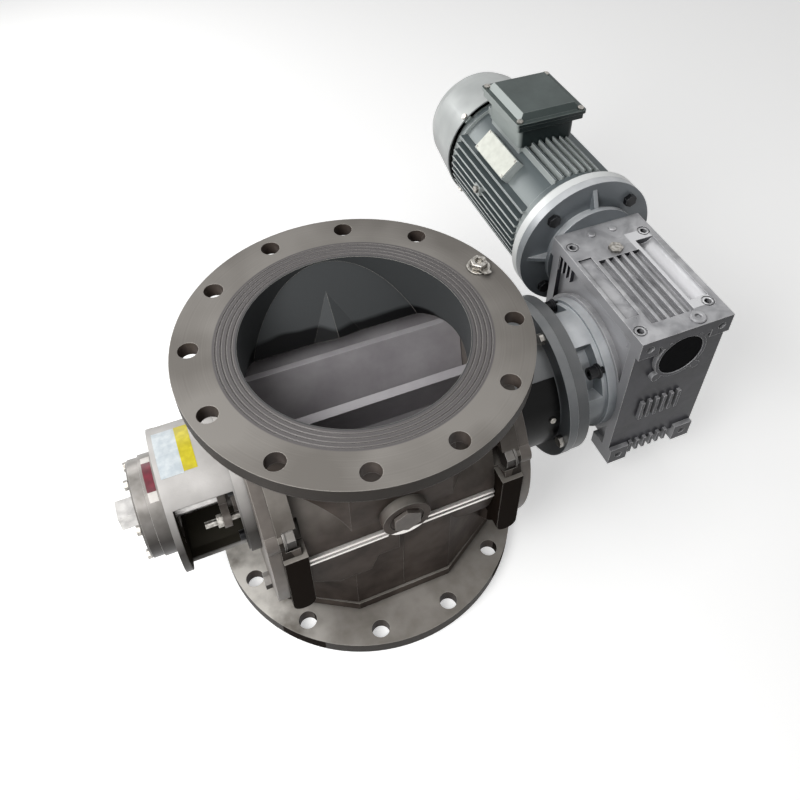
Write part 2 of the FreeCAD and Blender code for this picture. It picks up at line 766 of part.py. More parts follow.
def body_casting():
    """Body: two flanges, a neck, the rotor's shell and the end flanges, in one casting."""
    neck = prism(neck_outline(0.0, FLANGE_T / 2), Vec(0, 0, HEIGHT - FLANGE_T))
    skirt = prism(neck_outline(SKIRT_STEP, FLANGE_T / 2), Vec(0, 0, FLANGE_T / 2 + SKIRT_H))
    pieces = [neck, skirt, bolted_flange(HEIGHT - FLANGE_T, HEIGHT)]
    pieces.append(cyl_x(SHELL_R, -BODY_END, BODY_END))
    for side in (-1, 1):
        pieces += body_end_flange(side)
    pieces += body_ribs() + raised_panels()
    for front in (-1, 1):
        y0 = min(0, front * PORT_FACE)
        pieces.append(cyl_y(PORT_R, y0, y0 + PORT_FACE, 0, PORT_Z))
    body = fused(bolted_flange(0, FLANGE_T), pieces)
    rooms = [cyl_x(ROTOR_BORE_R, -BODY_END - 1, BODY_END + 1), inlet_room(), cyl_z(BORE_R, -1, AXIS_Z)]
    for front in (-1, 1):
        seat = Vec(0, front * (PORT_FACE - PORT_SPOT_DEEP), PORT_Z)
        inward = Vec(0, -front, 0)
        rooms.append(Part.makeCylinder(PORT_SPOT_R, PORT_SPOT_DEEP + 1, seat, inward * -1))
        rooms.append(Part.makeCylinder(PORT_HOLE_R, PORT_HOLE_DEEP, seat, inward))
    for side in (-1, 1):
        rooms += end_bolt_rooms(side)
    rooms += seal_grooves(HEIGHT, -1) + seal_grooves(0, 1)
    return body.cut(Part.makeCompound(rooms))


def end_bolt_rooms(side):
    """Tapped holes for the cover's outer bolts, and holes with pockets for the inner ones."""
    outer, inner = end_bolt_seats(side, BODY_END)
    inward = Vec(-side, 0, 0)
    rooms = [Part.makeCylinder(M12_R + FIT, END_HOLE_DEEP, seat, inward) for seat in outer]
    for seat in inner:
        rooms.append(Part.makeCylinder(M16_R + SCREW_GAP, END_FLANGE_T, seat, inward))
        rooms.append(Part.makeCylinder(INNER_POCKET_R, END_FLANGE_T, seat + inward * INNER_SEAT, inward))
    return rooms


def end_cover_bolts():
    """Bolts of both end covers: four from outside, and one from inside above each pad."""
    pieces = []
    for side in (-1, 1):
        inward = Vec(-side, 0, 0)
        outer = end_bolt_seats(side, COVER_FACE)[0]
        inner = end_bolt_seats(side, BODY_END - INNER_SEAT)[1]
        for seat in outer:
            pieces.append(hex_bolt(seat, inward, M12_R, COVER_T + END_BOLT_GRIP, M12_FLATS, M12_HEAD))
        for seat in inner:
            washer = Part.makeCylinder(M16_WASHER_R, M16_WASHER_T, seat, inward)
            under = seat + inward * M16_WASHER_T
            length = M16_WASHER_T + INNER_SEAT + COVER_T - 1.0
            bolt = hex_bolt(under, inward * -1, M16_R, length, M16_FLATS, M16_HEAD)
            pieces.append(bolt.fuse(washer).removeSplitter())
    return Part.makeCompound(pieces)


def end_cover(side):
    """End cover with the stuffing box on its outside."""
    x_in = side * BODY_END
    x_out = side * COVER_FACE
    lo = min(x_in, x_out)
    outer, inner = end_bolt_seats(side, BODY_END)
    pieces = [cyl_x(COVER_EAR_R, lo, lo + COVER_T, seat.y, seat.z) for seat in outer]
    pieces += [cyl_x(EAR_R, lo, lo + COVER_T, seat.y, seat.z) for seat in inner]
    box_lo = min(x_out, x_out + side * BOX_LENGTH)
    pieces.append(cyl_x(BOX_R, box_lo, box_lo + BOX_LENGTH))
    cover = fused(cyl_x(COVER_R, lo, lo + COVER_T), pieces)
    deep = COVER_T + BOX_LENGTH
    out = Vec(side, 0, 0)
    tools = [Part.makeCylinder(SHAFT_R + ROTOR_GAP, deep, Vec(x_in, 0, AXIS_Z), out)]
    tools.append(Part.makeCylinder(PACKING_R, deep, Vec(packing_start(side), 0, AXIS_Z), out))
    tools += [Part.makeCylinder(M12_R + SCREW_GAP, COVER_T, seat, out) for seat in outer]
    tools += [Part.makeCylinder(M16_R + FIT, COVER_T, seat, out) for seat in inner]
    for angle in QUARTERS:
        seat = on_circle_x(LANTERN_SCREW_R, angle, x_out)
        tools.append(Part.makeCylinder(STUD_R + FIT, LANTERN_SCREW_DEEP, seat, out * -1))
    for lug in (-1, 1):
        seat = Vec(x_out, lug * GLAND_LUG_Y, AXIS_Z)
        tools.append(Part.makeCylinder(STUD_R + FIT, STUD_DEEP + 1, seat, out * -1))
    return cover.cut(Part.makeCompound(tools))


def end_cover_free():
    """End cover on the free end."""
    return end_cover(-1)


def end_cover_drive():
    """End cover on the gearbox's end."""
    return end_cover(1)


def packing_start(side):
    """Inner end of the packing in a stuffing box."""
    return side * (BODY_END + PACKING_LIP)


def packing_rings():
    """Square rope packing, three rings in each stuffing box."""
    rings = []
    for side in (-1, 1):
        for k in range(PACKINGS):
            x = packing_start(side) + side * (k * PACKING_W + FIT)
            lo = min(x, x + side * (PACKING_W - FIT))
            rings.append(ring_x(PACKING_R - FIT, SHAFT_R + FIT, lo, lo + PACKING_W - FIT))
    return Part.makeCompound(rings)


def gland_follower():
    """The two followers that press the packing."""
    pieces = []
    for side in (-1, 1):
        x0 = packing_start(side) + side * (PACKINGS * PACKING_W + FIT)
        x1 = x0 + side * GLAND_NOSE
        x2 = x1 + side * GLAND_T
        nose = ring_x(PACKING_R - FIT, SHAFT_R + ROTOR_GAP, min(x0, x1), max(x0, x1))
        lo = min(x1, x2)
        plate = cyl_x(GLAND_R, lo, lo + GLAND_T)
        bar = box(lo, lo + GLAND_T, -GLAND_LUG_Y, GLAND_LUG_Y, AXIS_Z - GLAND_LUG_R, AXIS_Z + GLAND_LUG_R)
        lugs = [cyl_x(GLAND_LUG_R, lo, lo + GLAND_T, lug * GLAND_LUG_Y) for lug in (-1, 1)]
        plate = fused(plate, [bar] + lugs).cut(cyl_x(SHAFT_R + ROTOR_GAP, lo, lo + GLAND_T))
        for lug in (-1, 1):
            plate = plate.cut(cyl_x(STUD_R + SCREW_GAP, lo, lo + GLAND_T, lug * GLAND_LUG_Y))
        pieces.append(plate.fuse(nose))
    return Part.makeCompound(pieces)


def gland_studs():
    """Studs and nuts that draw the gland followers in."""
    pieces = []
    for side in (-1, 1):
        start = side * (COVER_FACE - STUD_DEEP)
        plate_end = packing_start(side) + side * (PACKINGS * PACKING_W + FIT + GLAND_NOSE + GLAND_T)
        length = abs(plate_end - start) + (STUD_OUT_FREE if side < 0 else STUD_OUT_DRIVE)
        for lug in (-1, 1):
            out = Vec(side, 0, 0)
            stud = Part.makeCylinder(STUD_R, length, Vec(start, lug * GLAND_LUG_Y, AXIS_Z), out)
            nut = hexagon(M8_FLATS, Vec(plate_end, lug * GLAND_LUG_Y, AXIS_Z), out * M8_NUT)
            pieces.append(stud.fuse(nut))
    return Part.makeCompound(pieces)


def lantern_screws():
    """Cap screws that hold both lanterns to their end covers."""
    pieces = []
    length = LANTERN_BASE_T + LANTERN_SCREW_GRIP
    for side in (-1, 1):
        for angle in QUARTERS:
            seat = on_circle_x(LANTERN_SCREW_R, angle, side * (COVER_FACE + LANTERN_BASE_T))
            pieces.append(socket_screw(seat, Vec(-side, 0, 0), STUD_R, length, M8_HEAD_R, M8_HEAD))
    return Part.makeCompound(pieces)


def lantern_base_holes(side):
    """Screw holes in a lantern's base."""
    holes = []
    for angle in QUARTERS:
        seat = on_circle_x(LANTERN_SCREW_R, angle, side * COVER_FACE)
        holes.append(Part.makeCylinder(STUD_R + SCREW_GAP, LANTERN_BASE_T, seat, Vec(side, 0, 0)))
    return holes


def window_cut(x0, x1):
    """Opening through a lantern's front and back."""
    half = LANTERN_R + 20
    return box(x0, x1, -half, half, AXIS_Z - WINDOW_BOTTOM, AXIS_Z + WINDOW_TOP)


def lantern_free():
    """Lantern on the free end, open at the front and back."""
    step = COVER_FACE + LANTERN_BASE_T
    inner = LANTERN_R - LANTERN_WALL
    shell = turned_x([
        (-COVER_FACE, LANTERN_BASE_IN),
        (-COVER_FACE, LANTERN_BASE_R),
        (-step, LANTERN_BASE_R),
        (-step, LANTERN_R),
        (-FREE_END, LANTERN_R),
        (-FREE_END, HOUSING_SPIGOT_R),
        (-FREE_END + FREE_WALL, HOUSING_SPIGOT_R),
        (-FREE_END + FREE_WALL, inner),
        (-step, inner),
        (-step, LANTERN_BASE_IN),
    ])
    tools = lantern_base_holes(-1)
    tools.append(window_cut(-FREE_END + FREE_WALL - 1, -step - WINDOW_MARGIN))
    tools += cap_screw_holes(-FREE_END, FREE_WALL)
    return shell.cut(Part.makeCompound(tools))


def cap_screw_holes(x, deep):
    """Holes for the free end's cap screws, from x inwards."""
    holes = []
    for k in range(CAP_SCREWS):
        seat = on_circle_x(CAP_SCREW_R, 360.0 / CAP_SCREWS * (k + 0.5), x)
        holes.append(Part.makeCylinder(M6_R + FIT, deep, seat, Vec(1, 0, 0)))
    return holes


def bearing_housing_free():
    """Ring that holds the free end's bearing in its lantern."""
    seat_end = FREE_BEARING_X + BEARING_W
    lip_end = seat_end + HOUSING_LIP_T
    bore = BEARING_R + FIT
    housing = turned_x([
        (-HOUSING_OUT, bore),
        (-HOUSING_OUT, HOUSING_R),
        (-FREE_END, HOUSING_R),
        (-FREE_END, HOUSING_SPIGOT_R - FIT),
        (lip_end, HOUSING_SPIGOT_R - FIT),
        (lip_end, HOUSING_LIP_R),
        (seat_end, HOUSING_LIP_R),
        (seat_end, bore),
    ])
    return housing.cut(Part.makeCompound(cap_screw_holes(-HOUSING_OUT, HOUSING_T)))


def bearing_cap_free():
    """Cap that closes the free end's bearing, with a hole for the shaft's square."""
    room_r = (BEARING_R + SEAT_R) / 2 - 4.0
    cap = turned_x([
        (-CAP_OUT, STUB_R + ROTOR_GAP),
        (-CAP_OUT, CAP_R - CAP_BEVEL),
        (-CAP_OUT + CAP_BEVEL, CAP_R),
        (-HOUSING_OUT, CAP_R),
        (-HOUSING_OUT, BEARING_R - FIT),
        (FREE_BEARING_X - FIT, BEARING_R - FIT),
        (FREE_BEARING_X - FIT, room_r),
        (-HOUSING_OUT - CAP_ROOM, room_r),
        (-HOUSING_OUT - CAP_ROOM, STUB_R + ROTOR_GAP),
    ])
    return cap.cut(Part.makeCompound(cap_screw_holes(-CAP_OUT, CAP_T)))


def bearing_outer_rings():
    """Outer rings of the two shaft bearings."""
    inner = ball_circle() + BEARING_BALL_R + RACE_GAP
    rings = [ring_x(BEARING_R, inner, x, x + BEARING_W) for x in (FREE_BEARING_X, DRIVE_BEARING_X)]
    return Part.makeCompound(rings)


def bearing_inner_rings():
    """Inner rings of the two shaft bearings."""
    outer = ball_circle() - BEARING_BALL_R - RACE_GAP
    rings = [ring_x(outer, SEAT_R + FIT, x, x + BEARING_W) for x in (FREE_BEARING_X, DRIVE_BEARING_X)]
    return Part.makeCompound(rings)


def ball_circle():
    """Radius of the circle on which the balls run."""
    return (BEARING_R + SEAT_R) / 2


def bearing_balls():
    """Balls of the two shaft bearings."""
    balls = []
    for x in (FREE_BEARING_X, DRIVE_BEARING_X):
        for k in range(BEARING_BALLS):
            centre = on_circle_x(ball_circle(), k * 360.0 / BEARING_BALLS, x + BEARING_W / 2)
            balls.append(Part.makeSphere(BEARING_BALL_R, centre))
    return Part.makeCompound(balls)


def lantern_drive():
    """Lantern on the drive end, with the flange that takes the gearbox."""
    step = COVER_FACE + LANTERN_BASE_T
    inner = LANTERN_R - LANTERN_WALL
    seat_end = DRIVE_BEARING_X + BEARING_W
    pilot_end = DRIVE_END - OUT_PILOT_T - OUT_PILOT_GAP
    shell = turned_x([
        (COVER_FACE, LANTERN_BASE_IN),
        (COVER_FACE, LANTERN_BASE_R),
        (step, LANTERN_BASE_R),
        (step, LANTERN_R),
        (DRIVE_FLANGE_IN, LANTERN_R),
        (DRIVE_FLANGE_IN, DRIVE_FLANGE_R),
        (DRIVE_END, DRIVE_FLANGE_R),
        (DRIVE_END, OUT_PILOT_R + FIT),
        (pilot_end, OUT_PILOT_R + FIT),
        (pilot_end, DRIVE_COVER_HOLE),
        (seat_end, DRIVE_COVER_HOLE),
        (seat_end, BEARING_R + FIT),
        (DRIVE_BEARING_X, BEARING_R + FIT),
        (DRIVE_BEARING_X, DRIVE_BOSS_R),
        (seat_end - HOUSING_LIP_T, DRIVE_BOSS_R),
        (seat_end - HOUSING_LIP_T, inner),
        (step, inner),
        (step, LANTERN_BASE_IN),
    ])
    tools = lantern_base_holes(1)
    tools.append(window_cut(step + WINDOW_MARGIN, DRIVE_BEARING_X - 1.0))
    for angle in QUARTERS:
        seat = on_circle_x(DRIVE_SCREW_R, angle, DRIVE_BEARING_X)
        tools.append(Part.makeCylinder(M5_R + FIT, DRIVE_SCREW_DEEP, seat, Vec(1, 0, 0)))
    for seat in drive_bolt_seats(DRIVE_FLANGE_IN):
        tools.append(Part.makeCylinder(STUD_R + SCREW_GAP, DRIVE_FLANGE_T, seat, Vec(1, 0, 0)))
    tools += [guard_screw_hole(point) for point in guard_screw_points()]
    return shell.cut(Part.makeCompound(tools))


def drive_bolt_seats(x):
    """Places of the bolts between the drive lantern and the output flange."""
    step = 360.0 / DRIVE_BOLTS
    return [on_circle_x(DRIVE_BOLT_R, DRIVE_BOLT_PHASE + step * k, x) for k in range(DRIVE_BOLTS)]


def bearing_cover_drive():
    """Ring that keeps the drive end's bearing in its boss."""
    x = DRIVE_BEARING_X - DRIVE_COVER_T
    cover = ring_x(DRIVE_BOSS_R, DRIVE_COVER_HOLE, x, DRIVE_BEARING_X)
    holes = []
    for angle in QUARTERS:
        seat = on_circle_x(DRIVE_SCREW_R, angle, x)
        holes.append(Part.makeCylinder(M5_R + FIT, DRIVE_COVER_T, seat, Vec(1, 0, 0)))
    return cover.cut(Part.makeCompound(holes))


def bearing_screws():
    """Screws of the free end's cap and of the drive end's bearing cover."""
    pieces = []
    length = CAP_T + HOUSING_T + FREE_WALL - 1.0
    for k in range(CAP_SCREWS):
        seat = on_circle_x(CAP_SCREW_R, 360.0 / CAP_SCREWS * (k + 0.5), -CAP_OUT)
        pieces.append(hex_bolt(seat, Vec(1, 0, 0), M6_R, length, M6_FLATS, M6_HEAD))
    length = DRIVE_COVER_T + DRIVE_SCREW_GRIP
    for angle in QUARTERS:
        seat = on_circle_x(DRIVE_SCREW_R, angle, DRIVE_BEARING_X - DRIVE_COVER_T)
        pieces.append(hex_bolt(seat, Vec(1, 0, 0), M5_R, length, M5_FLATS, M5_HEAD))
    return Part.makeCompound(pieces)


def guard_span():
    """Start and end of a window guard along X, and its angles."""
    start = COVER_FACE + LANTERN_BASE_T + GUARD_MARGIN
    top = math.degrees(math.asin(WINDOW_TOP / LANTERN_R)) + GUARD_REACH_TOP
    bottom = -math.degrees(math.asin(WINDOW_BOTTOM / LANTERN_R)) - GUARD_REACH_LOW
    return start, DRIVE_FLANGE_IN - GUARD_MARGIN, top, bottom


def guard_screw_points():
    """Middle of each guard screw, as (x, front, degrees above the level)."""
    x = DRIVE_FLANGE_IN - GUARD_MARGIN - GUARD_SCREW_IN
    return [(x, front, degrees) for front in (-1, 1) for degrees in GUARD_SCREW_ANGLES]


def guard_direction(front, degrees):
    """Outward direction at an angle on the front or back."""
    t = math.radians(degrees)
    return Vec(0, front * math.cos(t), math.sin(t))


def guard_screw_hole(point):
    """Tapped hole in the lantern for one guard screw."""
    x, front, degrees = point
    out = guard_direction(front, degrees)
    start = Vec(x, 0, AXIS_Z) + out * (LANTERN_R - GUARD_SCREW_L)
    return Part.makeCylinder(GUARD_SCREW_R + FIT, GUARD_SCREW_L + 1, start, out)


def window_guards():
    """Bent sheets that close the drive lantern's two windows."""
    start, end, top, bottom = guard_span()
    inner = LANTERN_R + FIT
    guards = []
    for front in (-1, 1):
        face = Part.Face(Part.makePolygon([
            Vec(start, front * inner, AXIS_Z),
            Vec(start, front * (inner + GUARD_T), AXIS_Z),
            Vec(end, front * (inner + GUARD_T), AXIS_Z),
            Vec(end, front * inner, AXIS_Z),
            Vec(start, front * inner, AXIS_Z),
        ]))
        face.rotate(Vec(0, 0, AXIS_Z), Vec(1, 0, 0), front * bottom)
        guards.append(face.revolve(Vec(0, 0, AXIS_Z), Vec(front, 0, 0), top - bottom))
    sheet = Part.makeCompound(guards)
    for x, front, degrees in guard_screw_points():
        out = guard_direction(front, degrees)
        start = Vec(x, 0, AXIS_Z) + out * (LANTERN_R - GUARD_SCREW_L)
        hole = Part.makeCylinder(GUARD_SCREW_R + SCREW_GAP, 2 * GUARD_SCREW_L, start, out)
        sheet = sheet.cut(hole)
    return sheet


def window_guard_screws():
    """Pan-head screws of the window guards."""
    screws = []
    for x, front, degrees in guard_screw_points():
        out = guard_direction(front, degrees)
        seat = Vec(x, 0, AXIS_Z) + out * (LANTERN_R + FIT + GUARD_T)
        head = Part.makeCylinder(GUARD_HEAD_R, GUARD_HEAD, seat, out)
        screws.append(head.fuse(Part.makeCylinder(GUARD_SCREW_R, GUARD_SCREW_L, seat, out * -1)))
    return Part.makeCompound(screws)


def port_plugs():
    """Hex plugs of the body's pressure ports, front and back."""
    plugs = []
    for front in (-1, 1):
        seat = Vec(0, front * (PORT_FACE - PORT_SPOT_DEEP), PORT_Z)
        plugs.append(hex_bolt(seat, Vec(0, -front, 0), PORT_HOLE_R - FIT, PLUG_GRIP, PLUG_FLATS, PLUG_HEAD))
    return Part.makeCompound(plugs)


def rotor_vanes():
    """Open-ended rotor: a hub tube with radial vanes welded on it."""
    tip = ROTOR_BORE_R - ROTOR_GAP
    vanes = []
    for k in range(VANES):
        vane = box(-ROTOR_HALF, ROTOR_HALF, -VANE_T / 2, VANE_T / 2, AXIS_Z + HUB_R - 3.0, AXIS_Z + tip + 5)
        vane.rotate(Vec(0, 0, AXIS_Z), Vec(1, 0, 0), -(VANE_PHASE + k * 360.0 / VANES))
        vanes.append(vane)
    rotor = fused(cyl_x(HUB_R, -ROTOR_HALF, ROTOR_HALF), vanes)
    rotor = rotor.common(cyl_x(tip, -ROTOR_HALF, ROTOR_HALF))
    return rotor.cut(cyl_x(SHAFT_R + FIT, -ROTOR_HALF, ROTOR_HALF))


def rotor_shaft():
    """Shaft from the square at the free end to the gearbox's hollow shaft."""
    free_seat = -FREE_BEARING_X - BEARING_W
    drive_seat_end = DRIVE_BEARING_X + BEARING_W + 1.0
    shaft = turned_x([
        (-SHAFT_FREE_END, 0),
        (-SHAFT_FREE_END, STUB_R),
        (-HOUSING_OUT, STUB_R),
        (-HOUSING_OUT, SEAT_R),
        (-free_seat, SEAT_R),
        (-free_seat, SHAFT_R),
        (DRIVE_BEARING_X, SHAFT_R),
        (DRIVE_BEARING_X, SEAT_R),
        (drive_seat_end, SEAT_R),
        (drive_seat_end, DRIVE_R),
        (GEARBOX_X1 - SHAFT_SHORT, DRIVE_R),
        (GEARBOX_X1 - SHAFT_SHORT, 0),
    ])
    half = SQUARE / 2
    start = -CAP_OUT - SQUARE_GAP
    wide = 2 * STUB_R
    blank = box(-SHAFT_FREE_END - 1, start, -wide, wide, AXIS_Z - wide, AXIS_Z + wide)
    square = box(-SHAFT_FREE_END - 1, start, -half, half, AXIS_Z - half, AXIS_Z + half)
    return shaft.cut(blank.cut(square)).cut(key_block(FIT))


def key_block(grow):
    """The key between the shaft and the hollow shaft, or the space it needs."""
    x0 = WORM_X - KEY_LENGTH / 2 - grow
    z0 = AXIS_Z + DRIVE_R - KEY_H * KEY_SUNK - grow
    x1 = x0 + KEY_LENGTH + 2 * grow
    return box(x0, x1, -KEY_W / 2 - grow, KEY_W / 2 + grow, z0, z0 + KEY_H + 2 * grow)


def drive_key():
    """Parallel key that drives the rotor's shaft."""
    return key_block(0.0)


def hollow_output_shaft():
    """Hollow shaft of the gearbox, carried in two bearings."""
    seat0 = wheel_bearing_starts()[0] + WHEEL_BEARING_W + FIT
    seat1 = 2 * WORM_X - seat0
    shaft = turned_x([
        (GEARBOX_X0 + HOLLOW_INSET, DRIVE_R + FIT),
        (GEARBOX_X0 + HOLLOW_INSET, HOLLOW_R),
        (seat0, HOLLOW_R),
        (seat0, HOLLOW_SEAT_R),
        (seat1, HOLLOW_SEAT_R),
        (seat1, HOLLOW_R),
        (GEARBOX_X1 - HOLLOW_INSET, HOLLOW_R),
        (GEARBOX_X1 - HOLLOW_INSET, DRIVE_R + FIT),
    ])
    return shaft.cut(key_block(FIT))


def tooth_half_angle(radius):
    """Half the angle of an involute wheel tooth at a radius."""
    base = WHEEL_PITCH_R * math.cos(PRESSURE_ANGLE)
    at_pitch = (math.pi * MODULE / 2 - TOOTH_GAP) / (2 * WHEEL_PITCH_R)
    slope = math.acos(min(1.0, base / max(radius, base)))
    involute = math.tan(slope) - slope
    return at_pitch + (math.tan(PRESSURE_ANGLE) - PRESSURE_ANGLE) - involute


def wheel_section(x, turn):
    """Closed outline of the worm wheel's teeth at one end."""
    root = WHEEL_PITCH_R - 1.25 * MODULE
    tip = WHEEL_PITCH_R + MODULE
    radii = [root, WHEEL_PITCH_R - 0.3 * MODULE, WHEEL_PITCH_R + 0.4 * MODULE, tip]
    points = []
    for k in range(WHEEL_TEETH):
        middle = 2 * math.pi * k / WHEEL_TEETH + turn
        flank = [(r, -tooth_half_angle(r)) for r in radii]
        for r, a in flank + [(r, -a) for r, a in reversed(flank)]:
            points.append(Vec(x, -r * math.sin(middle + a), AXIS_Z + r * math.cos(middle + a)))
    return Part.makePolygon(points + points[:1])


def worm_wheel():
    """Bronze worm wheel with helical teeth."""
    turn = math.tan(worm_lead_angle()) * (WHEEL_FACE / 2) / WHEEL_PITCH_R
    near = wheel_section(WORM_X - WHEEL_FACE / 2, -turn)
    far = wheel_section(WORM_X + WHEEL_FACE / 2, turn)
    blank = Part.makeLoft([near, far], True, True)
    return blank.cut(cyl_x(HOLLOW_SEAT_R + FIT, WORM_X - WHEEL_FACE, WORM_X + WHEEL_FACE))


def worm_lead_angle():
    """Lead angle of the single-start worm."""
    return math.atan(MODULE / (2 * WORM_PITCH_R))


def worm_thread():
    """Thread of the worm, swept along its helix, on the worm's axis."""
    pitch = math.pi * MODULE
    root = WORM_PITCH_R - 1.25 * MODULE - THREAD_ROOT
    tip = WORM_PITCH_R + MODULE
    at_pitch = (pitch / 2 - TOOTH_GAP) / 2
    half_root = at_pitch + (WORM_PITCH_R - root) * math.tan(PRESSURE_ANGLE)
    half_tip = at_pitch - MODULE * math.tan(PRESSURE_ANGLE)
    helix = Part.makeHelix(pitch, pitch * WORM_TURNS, WORM_PITCH_R)
    loop = [Vec(root, 0, -half_root), Vec(tip, 0, -half_tip), Vec(tip, 0, half_tip), Vec(root, 0, half_root)]
    profile = Part.makePolygon(loop + loop[:1])
    thread = Part.Wire(helix.Edges).makePipeShell([profile], True, True)
    thread.rotate(Vec(0, 0, 0), Vec(0, 0, 1), 180.0)
    thread.translate(Vec(0, 0, -pitch * WORM_TURNS / 2))
    onto_axis = FreeCAD.Matrix(0, 1, 0, WORM_X, 0, 0, 1, 0, 1, 0, 0, WORM_Z, 0, 0, 0, 1)
    thread.transformShape(onto_axis, True)
    return thread


def worm_shaft():
    """Worm with its journals and the hollow end that takes the motor's shaft."""
    root = WORM_PITCH_R - 1.25 * MODULE
    journal_end = WORM_BEARING_IN + WORM_BEARING_W
    input_end = GEARBOX_HALF_Y + WORM_OUT
    core = turned_y([
        (-journal_end, 0),
        (-journal_end, WORM_JOURNAL_R),
        (-WORM_BEARING_IN, WORM_JOURNAL_R),
        (-WORM_BEARING_IN, WORM_INPUT_R),
        (-WORM_BEARING_IN + WORM_COLLAR, WORM_INPUT_R),
        (-WORM_BEARING_IN + WORM_TAPER, root),
        (WORM_BEARING_IN - WORM_TAPER, root),
        (WORM_BEARING_IN - WORM_COLLAR, WORM_INPUT_R),
        (input_end, WORM_INPUT_R),
        (input_end, 0),
    ])
    worm = core.fuse(worm_thread())
    worm = worm.cut(cyl_y(MOTOR_SHAFT_R + FIT, input_end - MOTOR_BORE_DEEP, input_end))
    return worm.cut(motor_key_block(FIT))


def motor_key_block(grow):
    """The key between the motor's shaft and the worm, or the space it needs."""
    y0 = GEARBOX_HALF_Y - SHAFT_SHORT - SIDE_RECESS + 2.0 - grow
    z0 = WORM_Z + MOTOR_SHAFT_R - MOTOR_KEY_H * KEY_SUNK - grow
    half = MOTOR_KEY_W / 2 + grow
    y1 = y0 + MOTOR_KEY_L + 2 * grow
    return box(WORM_X - half, WORM_X + half, y0, y1, z0, z0 + MOTOR_KEY_H + 2 * grow)


def motor_key():
    """Parallel key that drives the worm."""
    return motor_key_block(0.0)


def worm_bearing_outer_rings():
    """Outer rings of the worm's bearings."""
    end = WORM_BEARING_IN + WORM_BEARING_W
    front = ring_y(WORM_BEARING_R, worm_race() + RACE_GAP, -end, -WORM_BEARING_IN)
    back = ring_y(WORM_BEARING_R, worm_race() + RACE_GAP, WORM_BEARING_IN, end)
    return Part.makeCompound([front, back])


def worm_race():
    """Radius between the worm bearings' inner and outer rings."""
    return (WORM_BEARING_R + WORM_INPUT_R) / 2


def worm_bearing_inner_rings():
    """Inner rings of the worm's bearings."""
    end = WORM_BEARING_IN + WORM_BEARING_W
    front = ring_y(worm_race() - RACE_GAP, WORM_JOURNAL_R + FIT, -end, -WORM_BEARING_IN)
    back = ring_y(worm_race() - RACE_GAP, WORM_INPUT_R + FIT, WORM_BEARING_IN, end)
    return Part.makeCompound([front, back])


def wheel_bearing_starts():
    """Where each of the hollow shaft's bearings starts along X."""
    first = GEARBOX_X0 + SIDE_COVER_T + SIDE_SPACE
    return first, 2 * WORM_X - first - WHEEL_BEARING_W


def wheel_race():
    """Radius between the hollow shaft bearings' inner and outer rings."""
    return (WHEEL_BEARING_R + HOLLOW_R) / 2


def wheel_bearing_outer_rings():
    """Outer rings of the hollow shaft's bearings."""
    rings = [ring_x(WHEEL_BEARING_R, wheel_race() + RACE_GAP, x, x + WHEEL_BEARING_W)
             for x in wheel_bearing_starts()]
    return Part.makeCompound(rings)


def wheel_bearing_inner_rings():
    """Inner rings of the hollow shaft's bearings."""
    rings = [ring_x(wheel_race() - RACE_GAP, HOLLOW_R + FIT, x, x + WHEEL_BEARING_W)
             for x in wheel_bearing_starts()]
    return Part.makeCompound(rings)


def corner_pads():
    """Centres of the mounting pads on the gearbox's front and back, as (x, z)."""
    inset = PAD_SIZE / 2
    xs = (GEARBOX_X0 + inset, GEARBOX_X1 - inset)
    zs = (GEARBOX_Z0 + inset, GEARBOX_Z1 - inset)
    return [(x, z) for x in xs for z in zs]


def gearbox_solid():
    """Outside of the gearbox housing, before its rooms are cut."""
    half = GEARBOX_HALF_Y
    face_y = half - FACE_RECESS
    foot_top = GEARBOX_Z0 + FOOT_H
    x0 = GEARBOX_X0 + SIDE_RECESS
    x1 = GEARBOX_X1 - SIDE_RECESS
    core = box(x0, x1, -face_y + 1, face_y - 1, foot_top, GEARBOX_Z1 - 1)
    pieces = [cyl_x(BARREL_R, GEARBOX_X0, GEARBOX_X1)]
    pieces.append(box(GEARBOX_X0, GEARBOX_X1, -half, half, GEARBOX_Z1 - DECK_T, GEARBOX_Z1))
    for front in (-1, 1):
        y0 = min(front * face_y, front * (face_y - PLATE_T))
        pieces.append(box(GEARBOX_X0, GEARBOX_X1, y0, y0 + PLATE_T, foot_top, GEARBOX_Z1 - 1))
        y0 = min(front * half, front * (half - FACE_RECESS - 2))
        y1 = y0 + FACE_RECESS + 2
        h = PAD_SIZE / 2
        pieces += [box(x - h, x + h, y0, y1, z - h, z + h) for x, z in corner_pads()]
        pieces.append(cyl_y(WORM_BEARING_R + CAP_RING, y0, y1))
        for angle in QUARTERS:
            boss = on_circle_y(WORM_BEARING_R + CAP_BOSS_OUT, angle, 0)
            pieces.append(cyl_y(CAP_BOSS_R, y0, y1, boss.x, boss.z))
        y0 = min(front * half, front * (half - FOOT_LENGTH))
        for x in (GEARBOX_X0, GEARBOX_X1 - PAD_SIZE):
            pieces.append(box(x, x + PAD_SIZE, y0, y0 + FOOT_LENGTH, GEARBOX_Z0, foot_top + 1))
    pieces += face_fins(-half + 1.0) + side_fins()
    return fused(core, pieces)


def side_fins():
    """Short fins high on the gearbox's side, between its end plate and the barrel."""
    fins = []
    for k in range(SIDE_FINS):
        y = SIDE_FIN_Y + k * SIDE_FIN_STEP
        z1 = GEARBOX_Z1 - DECK_T + 1.0
        fins.append(box(GEARBOX_X0 + 1.0, GEARBOX_X0 + SIDE_RECESS + 1.0,
                        y - SIDE_FIN_T / 2, y + SIDE_FIN_T / 2, z1 - SIDE_FIN_H, z1))
    return fins


